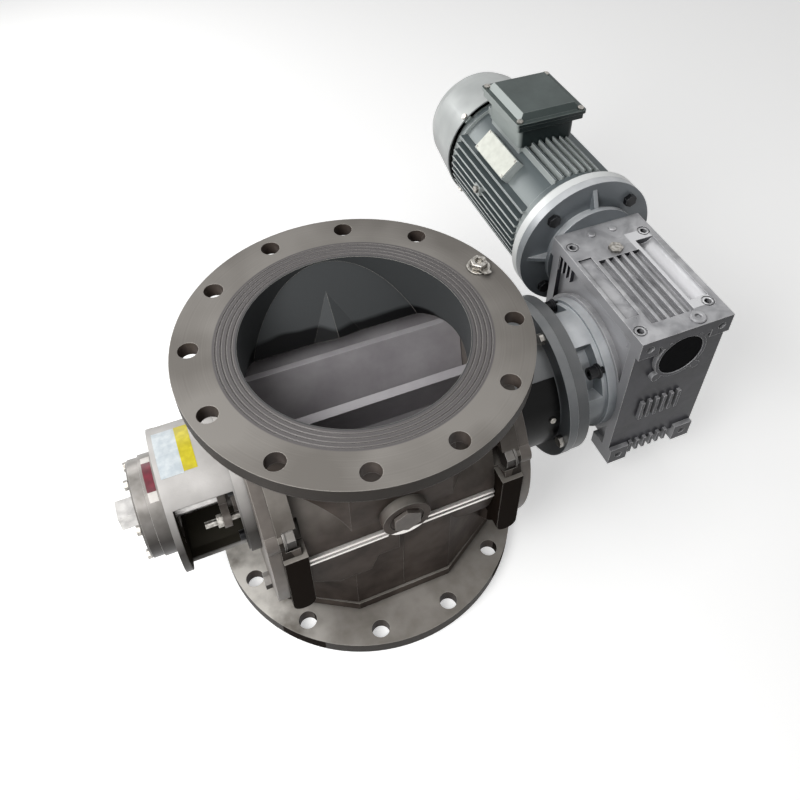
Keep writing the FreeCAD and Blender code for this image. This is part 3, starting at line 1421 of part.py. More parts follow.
def face_fins(y0):
    """Short upright fins on the gearbox's front face: a row at mid height, one by the feet."""
    fins = []
    rows = [(AXIS_Z - FACE_FIN_LOW, AXIS_Z + FACE_FIN_HIGH), (AXIS_Z - FOOT_FIN_LOW, AXIS_Z - FOOT_FIN_TOP)]
    for k in range(FACE_FINS):
        x = WORM_X + FACE_FIN_X + (k - (FACE_FINS - 1) / 2) * FACE_FIN_STEP
        for low, high in rows:
            fins.append(box(x - FACE_FIN_T / 2, x + FACE_FIN_T / 2, y0, y0 + FACE_RECESS + 1, low, high))
    return fins


def deck_cuts():
    """Recesses in the gearbox's top: a ribbed pocket, a plain panel, a round channel and holes."""
    top = GEARBOX_Z1
    x0, x1, y0, y1, deep = DECK_POCKET
    pocket = box(WORM_X + x0, WORM_X + x1, y0, y1, top - deep, top + 1)
    width = (x1 - x0) / DECK_RIBS
    ribs = []
    for k in range(1, DECK_RIBS):
        x = WORM_X + x0 + k * width
        ribs.append(box(x - DECK_RIB_T / 2, x + DECK_RIB_T / 2, y0 - 1, y1 + 1, top - deep - 1, top - 0.5))
    pocket = pocket.cut(Part.makeCompound(ribs))
    x0, x1, y0, y1, deep = DECK_PANEL
    panel = box(WORM_X + x0, WORM_X + x1, y0, y1, top - deep, top + 1)
    channel = cyl_y(CHANNEL_R, CHANNEL_Y0, CHANNEL_Y1, WORM_X + CHANNEL_X, top + CHANNEL_UP)
    cuts = [pocket, panel, channel]
    for x, y in DECK_HOLES:
        cuts.append(cyl_z(DECK_HOLE_R, top - DECK_HOLE_DEEP, top + 1, WORM_X + x, y))
        ring = cyl_z(DECK_RING_R, top - DECK_RING_DEEP, top + 1, WORM_X + x, y)
        cuts.append(ring.cut(cyl_z(DECK_RING_R - DECK_RING_T, top - DECK_RING_DEEP, top + 1, WORM_X + x, y)))
    return cuts


def gearbox_housing():
    """Die-cast housing of the worm gearbox."""
    half = GEARBOX_HALF_Y
    far = wheel_bearing_starts()[1]
    rooms = [cyl_x(WHEEL_ROOM_R, WORM_X - WHEEL_ROOM_HALF, WORM_X + WHEEL_ROOM_HALF)]
    rooms.append(cyl_x(SIDE_BORE_R + FIT, GEARBOX_X0 - 1, WORM_X - WHEEL_ROOM_HALF + 1))
    rooms.append(cyl_x(WHEEL_BEARING_R + FIT, far, far + WHEEL_BEARING_W))
    rooms.append(cyl_x(OIL_SEAL_R, far, GEARBOX_X1 + 1))
    rooms.append(cyl_x(WHEEL_BEARING_R - WHEEL_SHOULDER, WORM_X + WHEEL_ROOM_HALF - 1, far + 1))
    rooms.append(cyl_y(WORM_ROOM_R, -WORM_BEARING_IN - 1, WORM_BEARING_IN + 1))
    rooms.append(cyl_y(WORM_BEARING_R + FIT, -half - 1, -WORM_BEARING_IN))
    rooms.append(cyl_y(WORM_BEARING_R + FIT, WORM_BEARING_IN, half + 1))
    rooms += deck_cuts()
    for front in (-1, 1):
        y0 = min(front * half, front * (half - PAD_HOLE_DEEP))
        rooms += [cyl_y(PAD_HOLE_R, y0, y0 + PAD_HOLE_DEEP, x, z) for x, z in corner_pads()]
    for angle in OUT_ANGLES:
        seat = on_circle_x(OUT_SCREW_R, angle, GEARBOX_X0)
        rooms.append(Part.makeCylinder(M10_R + FIT, OUT_SCREW_DEEP, seat, Vec(1, 0, 0)))
    for seat, out in oil_plug_seats():
        rooms.append(Part.makeCylinder(OIL_PLUG_R, OIL_PLUG_DEEP, seat, out * -1))
    return gearbox_solid().cut(Part.makeCompound(rooms))


def oil_plug_seats():
    """Seats of the oil plugs: filler on the deck, drain low on the back."""
    filler = Vec(WORM_X + FILLER_X, FILLER_Y, GEARBOX_Z1)
    drain = Vec(WORM_X, GEARBOX_HALF_Y - FACE_RECESS, GEARBOX_Z0 + DRAIN_UP)
    return [(filler, Vec(0, 0, 1)), (drain, Vec(0, 1, 0))]


def oil_plugs():
    """Filler and drain plugs."""
    plugs = []
    for seat, out in oil_plug_seats():
        plugs.append(hex_bolt(seat, out * -1, OIL_PLUG_R - FIT, OIL_PLUG_GRIP, OIL_PLUG_FLATS, OIL_PLUG_HEAD))
    return Part.makeCompound(plugs)


def gearbox_side_cover():
    """Side cover that carries the near bearing of the hollow shaft."""
    first = wheel_bearing_starts()[0]
    end = first + WHEEL_BEARING_W
    return turned_x([
        (GEARBOX_X0, OIL_SEAL_R),
        (GEARBOX_X0, SIDE_BORE_R),
        (GEARBOX_X0 + SIDE_COVER_T, SIDE_BORE_R),
        (GEARBOX_X0 + SIDE_COVER_T, SIDE_HOUSING_R),
        (end, SIDE_HOUSING_R),
        (end, WHEEL_BEARING_R + FIT),
        (first, WHEEL_BEARING_R + FIT),
        (first, OIL_SEAL_R),
    ])


def oil_seals():
    """Lip seals of the hollow shaft, one on each side."""
    seals = []
    for x in (GEARBOX_X0 + OIL_SEAL_INSET, GEARBOX_X1 - OIL_SEAL_INSET - OIL_SEAL_W):
        seals.append(ring_x(OIL_SEAL_R - FIT, HOLLOW_R + FIT, x, x + OIL_SEAL_W))
    return Part.makeCompound(seals)


def worm_cap():
    """Pressed cap that closes the worm's bore at the front."""
    y0 = -GEARBOX_HALF_Y + WORM_CAP_INSET
    return cyl_y(WORM_BEARING_R, y0, y0 + WORM_CAP_T)


def output_flange():
    """Bell between the drive lantern and the gearbox, with four pockets for its screws."""
    plate_end = DRIVE_END + OUT_FLANGE_T
    foot = GEARBOX_X0 - OUT_FOOT_T
    flange = turned_x([
        (DRIVE_END - OUT_PILOT_T, OUT_BORE_R),
        (DRIVE_END - OUT_PILOT_T, OUT_PILOT_R),
        (DRIVE_END, OUT_PILOT_R),
        (DRIVE_END, OUT_FLANGE_R),
        (plate_end, OUT_FLANGE_R),
        (plate_end, OUT_BELL_R + OUT_BELL_STEP),
        (plate_end + OUT_BELL_STEP, OUT_BELL_R),
        (foot, OUT_BELL_R),
        (foot, OUT_FOOT_R),
        (GEARBOX_X0, OUT_FOOT_R),
        (GEARBOX_X0, OUT_BORE_R),
    ])
    tools = []
    for angle in OUT_ANGLES:
        tools.append(bell_pocket(angle, plate_end + OUT_BELL_STEP, GEARBOX_X0 - OUT_SEAT_T))
        seat = on_circle_x(OUT_SCREW_R, angle, GEARBOX_X0 - OUT_SEAT_T)
        tools.append(Part.makeCylinder(M10_R + SCREW_GAP, OUT_SEAT_T, seat, Vec(1, 0, 0)))
    for seat in drive_bolt_seats(DRIVE_END):
        tools.append(Part.makeCylinder(STUD_R + FIT, OUT_FLANGE_T - 4.0, seat, Vec(1, 0, 0)))
    return flange.cut(Part.makeCompound(tools))


def bell_pocket(angle, x0, x1):
    """Open pocket in the bell round one screw."""
    reach = OUT_FOOT_R + 20.0
    first = on_circle_x(reach, angle - OUT_POCKET_HALF, x0)
    last = on_circle_x(reach, angle + OUT_POCKET_HALF, x0)
    wedge = prism([Vec(x0, 0, AXIS_Z), first, last], Vec(x1 - x0, 0, 0))
    return wedge.cut(cyl_x(OUT_POCKET_R, x0 - 1, x1 + 1))


def output_flange_bolts():
    """Black cap screws with flat and spring washers, in the bell's pockets."""
    pieces = []
    for angle in OUT_ANGLES:
        seat = on_circle_x(OUT_SCREW_R, angle, GEARBOX_X0 - OUT_SEAT_T)
        washer = Part.makeCylinder(M10_WASHER_R, M10_WASHER_T, seat, Vec(-1, 0, 0))
        spring = Part.makeCylinder(M10_SPRING_R, M10_WASHER_T + M10_SPRING_T, seat, Vec(-1, 0, 0))
        under = seat - Vec(M10_WASHER_T + M10_SPRING_T, 0, 0)
        length = M10_WASHER_T + M10_SPRING_T + OUT_SEAT_T + OUT_SCREW_GRIP
        screw = socket_screw(under, Vec(1, 0, 0), M10_R, length, M10_HEAD_R, M10_HEAD)
        pieces.append(fused(screw, [washer, spring]))
    return Part.makeCompound(pieces)


def drive_flange_bolts():
    """Hex bolts from the lantern's side into the output flange."""
    pieces = []
    for seat in drive_bolt_seats(DRIVE_FLANGE_IN):
        length = DRIVE_FLANGE_T + DRIVE_BOLT_GRIP
        pieces.append(hex_bolt(seat, Vec(1, 0, 0), STUD_R, length, M8_FLATS, M8_NUT))
    return Part.makeCompound(pieces)


def input_flange():
    """Flange on the gearbox's back that takes the motor, with four gussets."""
    half = GEARBOX_HALF_Y
    foot_r = INPUT_NECK_R + INPUT_FOOT_OUT
    pilot_end = MOTOR_JOINT_Y - MOTOR_PILOT_T - 0.5
    flange = turned_y([
        (half, INPUT_BORE_R),
        (half, foot_r),
        (half + INPUT_FOOT_T, foot_r),
        (half + INPUT_FOOT_T, INPUT_NECK_R),
        (INPUT_FLANGE_Y0, INPUT_NECK_R),
        (INPUT_FLANGE_Y0, MOTOR_FLANGE_R),
        (MOTOR_JOINT_Y, MOTOR_FLANGE_R),
        (MOTOR_JOINT_Y, MOTOR_PILOT_R + FIT),
        (pilot_end, MOTOR_PILOT_R + FIT),
        (pilot_end, INPUT_BORE_R),
    ])
    gussets = []
    for turn in range(4):
        rib = prism([
            Vec(WORM_X + INPUT_NECK_R - 2, half + 2, WORM_Z - GUSSET_T / 2),
            Vec(WORM_X + MOTOR_FLANGE_R - 8, INPUT_FLANGE_Y0 + 1, WORM_Z - GUSSET_T / 2),
            Vec(WORM_X + INPUT_NECK_R - 2, INPUT_FLANGE_Y0 + 1, WORM_Z - GUSSET_T / 2),
        ], Vec(0, 0, GUSSET_T))
        rib.rotate(Vec(WORM_X, 0, WORM_Z), Vec(0, 1, 0), 90 * turn)
        gussets.append(rib)
    flange = fused(flange, gussets)
    holes = []
    for angle in QUARTERS:
        seat = on_circle_y(MOTOR_BOLT_R, angle, INPUT_FLANGE_Y0)
        holes.append(Part.makeCylinder(MOTOR_HOLE_R, MOTOR_FLANGE_T, seat, Vec(0, 1, 0)))
    return flange.cut(Part.makeCompound(holes))


def motor_bolts():
    """Bolts and nuts between the input flange and the motor."""
    pieces = []
    end = MOTOR_JOINT_Y + MOTOR_FLANGE_T
    for angle in QUARTERS:
        seat = on_circle_y(MOTOR_BOLT_R, angle, INPUT_FLANGE_Y0)
        length = end - INPUT_FLANGE_Y0 + MOTOR_NUT
        bolt = hex_bolt(seat, Vec(0, 1, 0), M10_R, length, M10_FLATS, M10_BOLT_HEAD)
        nut = hexagon(M10_FLATS, on_circle_y(MOTOR_BOLT_R, angle, end), Vec(0, MOTOR_NUT, 0))
        pieces.append(bolt.fuse(nut))
    return Part.makeCompound(pieces)


def motor_end_shield():
    """Front shield of the motor, with its flange and bearing seat."""
    end = MOTOR_JOINT_Y + MOTOR_FLANGE_T
    hub_end = FRONT_BEARING_Y + MOTOR_BEARING_W
    shield = turned_y([
        (MOTOR_JOINT_Y - MOTOR_PILOT_T, MOTOR_SEAT_R + SHIELD_HOLE_STEP),
        (MOTOR_JOINT_Y - MOTOR_PILOT_T, MOTOR_PILOT_R),
        (MOTOR_JOINT_Y, MOTOR_PILOT_R),
        (MOTOR_JOINT_Y, MOTOR_FLANGE_R),
        (end, MOTOR_FLANGE_R),
        (end, SHIELD_NECK_R),
        (FRAME_Y0 - SHIELD_COLLAR_T, SHIELD_NECK_R),
        (FRAME_Y0 - SHIELD_COLLAR_T, FRAME_R),
        (FRAME_Y0, FRAME_R),
        (FRAME_Y0, FRAME_IN_R - FIT),
        (FRAME_Y0 + SPIGOT_L, FRAME_IN_R - FIT),
        (FRAME_Y0 + SPIGOT_L, FRAME_IN_R - SHIELD_WALL),
        (end + 3.0, SHIELD_NECK_R - SHIELD_WALL),
        (end + 3.0, SHIELD_HUB_R),
        (hub_end, SHIELD_HUB_R),
        (hub_end, MOTOR_BEARING_R + FIT),
        (FRONT_BEARING_Y, MOTOR_BEARING_R + FIT),
        (FRONT_BEARING_Y, MOTOR_SEAT_R + SHIELD_HOLE_STEP),
    ])
    holes = []
    for angle in QUARTERS:
        seat = on_circle_y(MOTOR_BOLT_R, angle, MOTOR_JOINT_Y)
        holes.append(Part.makeCylinder(MOTOR_HOLE_R, MOTOR_FLANGE_T, seat, Vec(0, 1, 0)))
    return shield.cut(Part.makeCompound(holes))


def fin_plates():
    """Cooling fins: level ones on both sides, upright ones below and above."""
    y0 = FRAME_Y0 + FRAME_RIM_W - 1
    y1 = FRAME_Y1 - FRAME_RIM_W + 1
    root = FRAME_R - FIN_ROOT
    long = FIN_TIP_R - root
    plates = []
    for side in (-1, 1):
        for k in range(FINS_SIDE):
            z = WORM_Z + (k - (FINS_SIDE - 1) / 2) * FIN_PITCH
            x0 = WORM_X + min(side * root, side * FIN_TIP_R)
            plates.append(box(x0, x0 + long, y0, y1, z - FIN_T / 2, z + FIN_T / 2))
        for k in range(FINS_LOW):
            x = WORM_X + (k - (FINS_LOW - 1) / 2) * FIN_PITCH
            z0 = WORM_Z + min(side * root, side * FIN_TIP_R)
            plates.append(box(x - FIN_T / 2, x + FIN_T / 2, y0, y1, z0, z0 + long))
    tips = cyl_y(FIN_TIP_R, y0, y1)
    return [plate.common(tips) for plate in plates]


def earth_frame(shape):
    """Turn a piece from the +X side of the motor round to the earth screw's place."""
    shape.rotate(Vec(WORM_X, 0, WORM_Z), Vec(0, 1, 0), -EARTH_ANGLE)
    return shape


def earth_boss():
    """Square boss with the hole for the earth screw."""
    half = EARTH_W / 2
    boss = box(WORM_X + FRAME_R - 2, WORM_X + FIN_TIP_R + EARTH_OUT, EARTH_Y - half, EARTH_Y + half,
               WORM_Z - half, WORM_Z + half)
    return earth_frame(boss)


def earth_screw(radius, head):
    """Earth screw, or the hole for it."""
    seat = Vec(WORM_X + FIN_TIP_R + EARTH_OUT, EARTH_Y, WORM_Z)
    screw = Part.makeCylinder(radius, EARTH_W / 2, seat, Vec(-1, 0, 0))
    if head:
        screw = screw.fuse(hexagon(EARTH_FLATS, seat, Vec(EARTH_HEAD, 0, 0)))
    return earth_frame(screw)


def plate_frame(shape):
    """Turn a piece from the top of the motor round to the nameplate's side."""
    shape.rotate(Vec(WORM_X, 0, WORM_Z), Vec(0, 1, 0), -PLATE_ANGLE)
    return shape


def motor_earth_screw():
    """Hex screw in the frame's earth boss."""
    return earth_screw(EARTH_HOLE_R, True)


def nameplate_pad():
    """Cast pad under the nameplate."""
    x0 = WORM_X - PLATE_W / 2
    y0 = PLATE_Y - PLATE_L / 2
    pad = box(x0, x0 + PLATE_W, y0, y0 + PLATE_L, WORM_Z + FRAME_IN_R, WORM_Z + PLATE_R)
    return plate_frame(pad)


def nameplate():
    """Bare plate riveted on its pad."""
    x0 = WORM_X - PLATE_W / 2 + PLATE_MARGIN
    y0 = PLATE_Y - PLATE_L / 2 + PLATE_MARGIN
    z0 = WORM_Z + PLATE_R
    wide = PLATE_W - 2 * PLATE_MARGIN
    long = PLATE_L - 2 * PLATE_MARGIN
    return plate_frame(box(x0, x0 + wide, y0, y0 + long, z0, z0 + PLATE_THICK))


def motor_frame():
    """Finned aluminium frame of the motor."""
    pieces = [
        cyl_y(FRAME_RIM_R, FRAME_Y0, FRAME_Y0 + FRAME_RIM_W),
        cyl_y(FRAME_RIM_R, FRAME_Y1 - FRAME_RIM_W, FRAME_Y1),
        nameplate_pad(),
        earth_boss(),
        centred_box(TERMINAL_X - 8.0, TERMINAL_L - 8.0, WORM_Z + FRAME_R - 18.0, TERMINAL_Z0),
    ]
    frame = fused(cyl_y(FRAME_R, FRAME_Y0, FRAME_Y1), pieces + fin_plates())
    box_room = centred_box(TERMINAL_X + 2, TERMINAL_L + 2, TERMINAL_Z0, TERMINAL_Z1)
    tools = [box_room, earth_screw(EARTH_HOLE_R + FIT, False), cyl_y(FRAME_IN_R, FRAME_Y0 - 1, FRAME_Y1 + 1)]
    for tool in tools:
        frame = frame.cut(tool)
    return frame


def stator_core():
    """Laminated stator core pressed in the frame."""
    return ring_y(FRAME_IN_R - FIT, CORE_IN_R, CORE_Y0, CORE_Y1)


def stator_windings():
    """Overhangs of the stator's copper windings."""
    outer = FRAME_IN_R - WINDING_OUT_GAP
    inner = CORE_IN_R + WINDING_IN_GAP
    front = ring_y(outer, inner, CORE_Y0 - WINDING_LENGTH, CORE_Y0)
    back = ring_y(outer, inner, CORE_Y1, CORE_Y1 + WINDING_LENGTH)
    return Part.makeCompound([front, back])


def motor_rotor():
    """Squirrel-cage rotor core with its end rings."""
    outer = CORE_IN_R - AIR_GAP
    cage = outer - CAGE_STEP
    hole = MOTOR_SEAT_R + MOTOR_CORE_STEP + FIT
    return turned_y([
        (CORE_Y0 - CAGE_L, hole),
        (CORE_Y0 - CAGE_L, cage),
        (CORE_Y0, cage),
        (CORE_Y0, outer),
        (CORE_Y1, outer),
        (CORE_Y1, cage),
        (CORE_Y1 + CAGE_L, cage),
        (CORE_Y1 + CAGE_L, hole),
    ])


def motor_shaft():
    """Motor shaft, from the worm's bore to the cooling fan."""
    start = GEARBOX_HALF_Y + WORM_OUT - MOTOR_SHAFT_IN
    front_end = FRONT_BEARING_Y + MOTOR_BEARING_W
    rear_end = REAR_BEARING_Y + MOTOR_BEARING_W + 4.0
    tail_r = MOTOR_SHAFT_R - MOTOR_TAIL_STEP
    core_r = MOTOR_SEAT_R + MOTOR_CORE_STEP
    shaft = turned_y([
        (start, 0),
        (start, MOTOR_SHAFT_R),
        (FRONT_BEARING_Y - 8.0, MOTOR_SHAFT_R),
        (FRONT_BEARING_Y - 8.0, MOTOR_SEAT_R),
        (front_end, MOTOR_SEAT_R),
        (front_end, core_r),
        (REAR_BEARING_Y, core_r),
        (REAR_BEARING_Y, MOTOR_SEAT_R),
        (rear_end, MOTOR_SEAT_R),
        (rear_end, tail_r),
        (FAN_Y0 + FAN_BLADE_W + 4.0, tail_r),
        (FAN_Y0 + FAN_BLADE_W + 4.0, 0),
    ])
    return shaft.cut(motor_key_block(FIT))


def motor_race():
    """Radius between the motor bearings' inner and outer rings."""
    return (MOTOR_BEARING_R + MOTOR_SEAT_R) / 2


def motor_bearing_outer_rings():
    """Outer rings of the motor's bearings."""
    inner = motor_race() + RACE_GAP
    starts = (FRONT_BEARING_Y, REAR_BEARING_Y)
    rings = [ring_y(MOTOR_BEARING_R, inner, y, y + MOTOR_BEARING_W) for y in starts]
    return Part.makeCompound(rings)


def motor_bearing_inner_rings():
    """Inner rings of the motor's bearings."""
    outer = motor_race() - RACE_GAP
    hole = MOTOR_SEAT_R + FIT
    rings = [ring_y(outer, hole, y, y + MOTOR_BEARING_W) for y in (FRONT_BEARING_Y, REAR_BEARING_Y)]
    return Part.makeCompound(rings)


def motor_rear_shield():
    """Rear shield of the motor, with lugs for the fan cowl."""
    end = FRAME_Y1 + REAR_SHIELD_T
    hole = MOTOR_SHAFT_R + SHIELD_HOLE_STEP
    shield = turned_y([
        (REAR_BEARING_Y, MOTOR_BEARING_R + FIT),
        (REAR_BEARING_Y, SHIELD_HUB_R),
        (FRAME_Y1, SHIELD_HUB_R + 4.0),
        (FRAME_Y1 - 4.0, FRAME_IN_R - SHIELD_WALL),
        (FRAME_Y1 - 4.0, FRAME_IN_R - FIT),
        (FRAME_Y1, FRAME_IN_R - FIT),
        (FRAME_Y1, FRAME_R),
        (end, FRAME_R),
        (end, hole),
        (REAR_BEARING_Y + MOTOR_BEARING_W, hole),
        (REAR_BEARING_Y + MOTOR_BEARING_W, MOTOR_BEARING_R + FIT),
    ])
    lugs = []
    for angle in QUARTERS:
        lug = box(WORM_X + FRAME_R - 6.0, WORM_X + cowl_inner_r() - FIT, FRAME_Y1 + 1.0, end,
                  WORM_Z - LUG_W / 2, WORM_Z + LUG_W / 2)
        lug.rotate(Vec(WORM_X, 0, WORM_Z), Vec(0, 1, 0), angle)
        lugs.append(lug)
    shield = fused(shield, lugs)
    holes = [cowl_screw_bar(angle, COWL_SCREW_R + FIT) for angle in QUARTERS]
    return shield.cut(Part.makeCompound(holes))


def cowl_inner_r():
    """Inside radius of the cowl at its front rim, less its slight taper."""
    return COWL_R - COWL_T - COWL_TAPER


def cowl_screw_bar(angle, radius):
    """Radial bar through the cowl and a lug."""
    start = on_circle_y(COWL_R - COWL_OUT + 2.0, -angle, cowl_screw_y())
    return Part.makeCylinder(radius, COWL_OUT, start, cowl_screw_direction(angle))


def cowl_screw_y():
    """Place of the cowl's screws along the motor."""
    return COWL_Y0 + (REAR_SHIELD_T - 1.0) / 2 - 1.0


def cowl_screw_direction(angle):
    """Outward direction of a cowl screw."""
    t = math.radians(angle)
    return Vec(math.cos(t), 0, -math.sin(t))


def fan_cowl():
    """Pressed cowl over the cooling fan, with air slots in its end."""
    t = COWL_T
    cowl = turned_y([
        (COWL_Y0, COWL_R),
        (COWL_MID_Y, COWL_MID_R),
        (COWL_Y1 - 3 * t, COWL_END_R + 5.0),
        (COWL_Y1, COWL_END_R - t),
        (COWL_Y1, 0),
        (COWL_Y1 - t, 0),
        (COWL_Y1 - t, COWL_END_R - 3.0),
        (COWL_Y1 - 3.5 * t, COWL_END_R + 3.0),
        (COWL_MID_Y, COWL_MID_R - t),
        (COWL_Y0, COWL_R - t),
    ])
    tools = []
    half = COWL_SLOT_W / 2
    for k in range(COWL_SLOTS):
        slot = box(WORM_X + COWL_SLOT_IN, WORM_X + COWL_END_R - COWL_SLOT_OUT, COWL_Y1 - t - 1, COWL_Y1 + 1,
                   WORM_Z - half, WORM_Z + half)
        slot.rotate(Vec(WORM_X, 0, WORM_Z), Vec(0, 1, 0), k * 360.0 / COWL_SLOTS)
        tools.append(slot)
    tools += [cowl_screw_bar(angle, COWL_SCREW_R + SCREW_GAP) for angle in QUARTERS]
    return cowl.cut(Part.makeCompound(tools))


def fan_cowl_screws():
    """Screws that hold the cowl on the rear shield's lugs."""
    screws = []
    for angle in QUARTERS:
        out = cowl_screw_direction(angle)
        seat = on_circle_y(COWL_R + 0.2, -angle, cowl_screw_y())
        head = hexagon(M5_FLATS, seat, out * 3.0)
        shank = Part.makeCylinder(COWL_SCREW_R, COWL_OUT - 2.0, seat, out * -1)
        screws.append(head.fuse(shank))
    return Part.makeCompound(screws)


def cooling_fan():
    """Radial-bladed fan on the motor's tail shaft."""
    plate = cyl_y(FAN_R, FAN_Y0, FAN_Y0 + FAN_PLATE_T)
    hub = cyl_y(FAN_HUB_R, FAN_Y0, FAN_Y0 + FAN_BLADE_W)
    half = FAN_BLADE_T / 2
    blades = []
    for k in range(FAN_BLADES):
        blade = box(WORM_X + FAN_HUB_R - 3.0, WORM_X + FAN_R - 1.0, FAN_Y0 + 1.0, FAN_Y0 + FAN_BLADE_W,
                    WORM_Z - half, WORM_Z + half)
        blade.rotate(Vec(WORM_X, 0, WORM_Z), Vec(0, 1, 0), k * 360.0 / FAN_BLADES)
        blades.append(blade)
    fan = fused(plate, [hub] + blades)
    return fan.cut(cyl_y(MOTOR_SHAFT_R - MOTOR_TAIL_STEP + FIT, FAN_Y0 - 1, FAN_Y0 + FAN_BLADE_W + 1))


def centred_box(width, length, z0, z1):
    """Block centred on the terminal box."""
    a = width / 2
    b = length / 2
    return box(WORM_X - a, WORM_X + a, TERMINAL_Y - b, TERMINAL_Y + b, z0, z1)


def rounded(block, radius):
    """Block with its upright edges rounded."""
    upright = [e for e in block.Edges if abs(e.tangentAt(e.FirstParameter).z) > 0.99]
    return block.makeFillet(radius, upright)


def lid_screw_points():
    """Corners where the lid's screws sit, as (x, y)."""
    x = LID_X / 2 - LID_SCREW_IN
    y = LID_L / 2 - LID_SCREW_IN
    return [(WORM_X + a * x, TERMINAL_Y + b * y) for a in (-1, 1) for b in (-1, 1)]


def terminal_box():
    """Open-topped terminal box; its rim spreads under the lid."""
    body = rounded(centred_box(TERMINAL_X, TERMINAL_L, TERMINAL_Z0, TERMINAL_Z1), TERMINAL_CORNER_R)
    rim = rounded(centred_box(LID_X - TERMINAL_SEAT_IN, LID_L - TERMINAL_SEAT_IN,
                              TERMINAL_Z1 - TERMINAL_RIM_H, TERMINAL_Z1), LID_CORNER_R)
    wall = TERMINAL_WALL
    room = centred_box(TERMINAL_X - 2 * wall, TERMINAL_L - 2 * wall, TERMINAL_Z0 + wall, TERMINAL_Z1 + 1)
    shell = body.fuse(rim).removeSplitter().cut(room)
    holes = [cyl_z(LID_SCREW_R + FIT, TERMINAL_Z1 - LID_SCREW_L - 1, TERMINAL_Z1 + 1, x, y)
             for x, y in lid_screw_points()]
    return shell.cut(Part.makeCompound(holes))


def terminal_gasket():
    """Flat rubber seal under the lid."""
    z1 = TERMINAL_Z1 + GASKET_T
    outer = centred_box(LID_X - 2 * GASKET_IN, LID_L - 2 * GASKET_IN, TERMINAL_Z1, z1)
    inner = centred_box(TERMINAL_X - 2 * TERMINAL_WALL, TERMINAL_L - 2 * TERMINAL_WALL, TERMINAL_Z1, z1)
    holes = [cyl_z(LID_SCREW_R + SCREW_GAP, TERMINAL_Z1, z1, x, y) for x, y in lid_screw_points()]
    return outer.cut(inner).cut(Part.makeCompound(holes))


def terminal_box_lid():
    """Lid with a flat rim and sloping shoulders."""
    z0 = TERMINAL_Z1 + GASKET_T
    rim = rounded(centred_box(LID_X, LID_L, z0, z0 + LID_RIM_T), LID_CORNER_R)
    foot = rectangle(LID_TOP_X + 2 * LID_SLOPE, LID_TOP_L + 2 * LID_SLOPE_L, z0 + LID_RIM_T)
    top = rectangle(LID_TOP_X, LID_TOP_L, z0 + LID_T)
    crown = Part.makeLoft([foot, top], True, True)
    lid = rim.fuse(crown).removeSplitter()
    tools = [centred_box(LID_TOP_X - 2 * LID_WALL, LID_TOP_L - 2 * LID_WALL, z0 - 1, z0 + LID_T - LID_WALL)]
    for x, y in lid_screw_points():
        tools.append(cyl_z(LID_SCREW_R + FIT, z0 - 1, z0 + LID_T, x, y))
        tools.append(cyl_z(LID_SCREW_HEAD_R + SCREW_GAP, z0 + LID_RIM_T, z0 + LID_T + 1, x, y))
    for tool in tools:
        lid = lid.cut(tool)
    return lid


def rectangle(width, length, z):
    """Flat rectangle centred on the terminal box."""
    corners = [(-1, -1), (1, -1), (1, 1), (-1, 1)]
    points = [Vec(WORM_X + a * width / 2, TERMINAL_Y + b * length / 2, z) for a, b in corners]
    return Part.makePolygon(points + points[:1])


def terminal_lid_screws():
    """Four screws at the lid's corners."""
    z = TERMINAL_Z1 + GASKET_T + LID_RIM_T
    screws = []
    for x, y in lid_screw_points():
        head = cyl_z(LID_SCREW_HEAD_R, z, z + LID_SCREW_HEAD, x, y)
        screws.append(head.fuse(cyl_z(LID_SCREW_R, TERMINAL_Z1 - LID_SCREW_L, z, x, y)))
    return Part.makeCompound(screws)


def terminal_block():
    """Moulded block with six brass terminals."""
    z0 = TERMINAL_Z0 + TERMINAL_WALL
    block = centred_box(BLOCK_X, BLOCK_L, z0, z0 + BLOCK_H)
    posts = []
    for a in (-1, 0, 1):
        for b in (-1, 1):
            x = WORM_X + a * POST_X
            y = TERMINAL_Y + b * POST_Y
            posts.append(cyl_z(POST_R, z0 + BLOCK_H - 1, z0 + BLOCK_H + POST_H, x, y))
    return fused(block, posts)


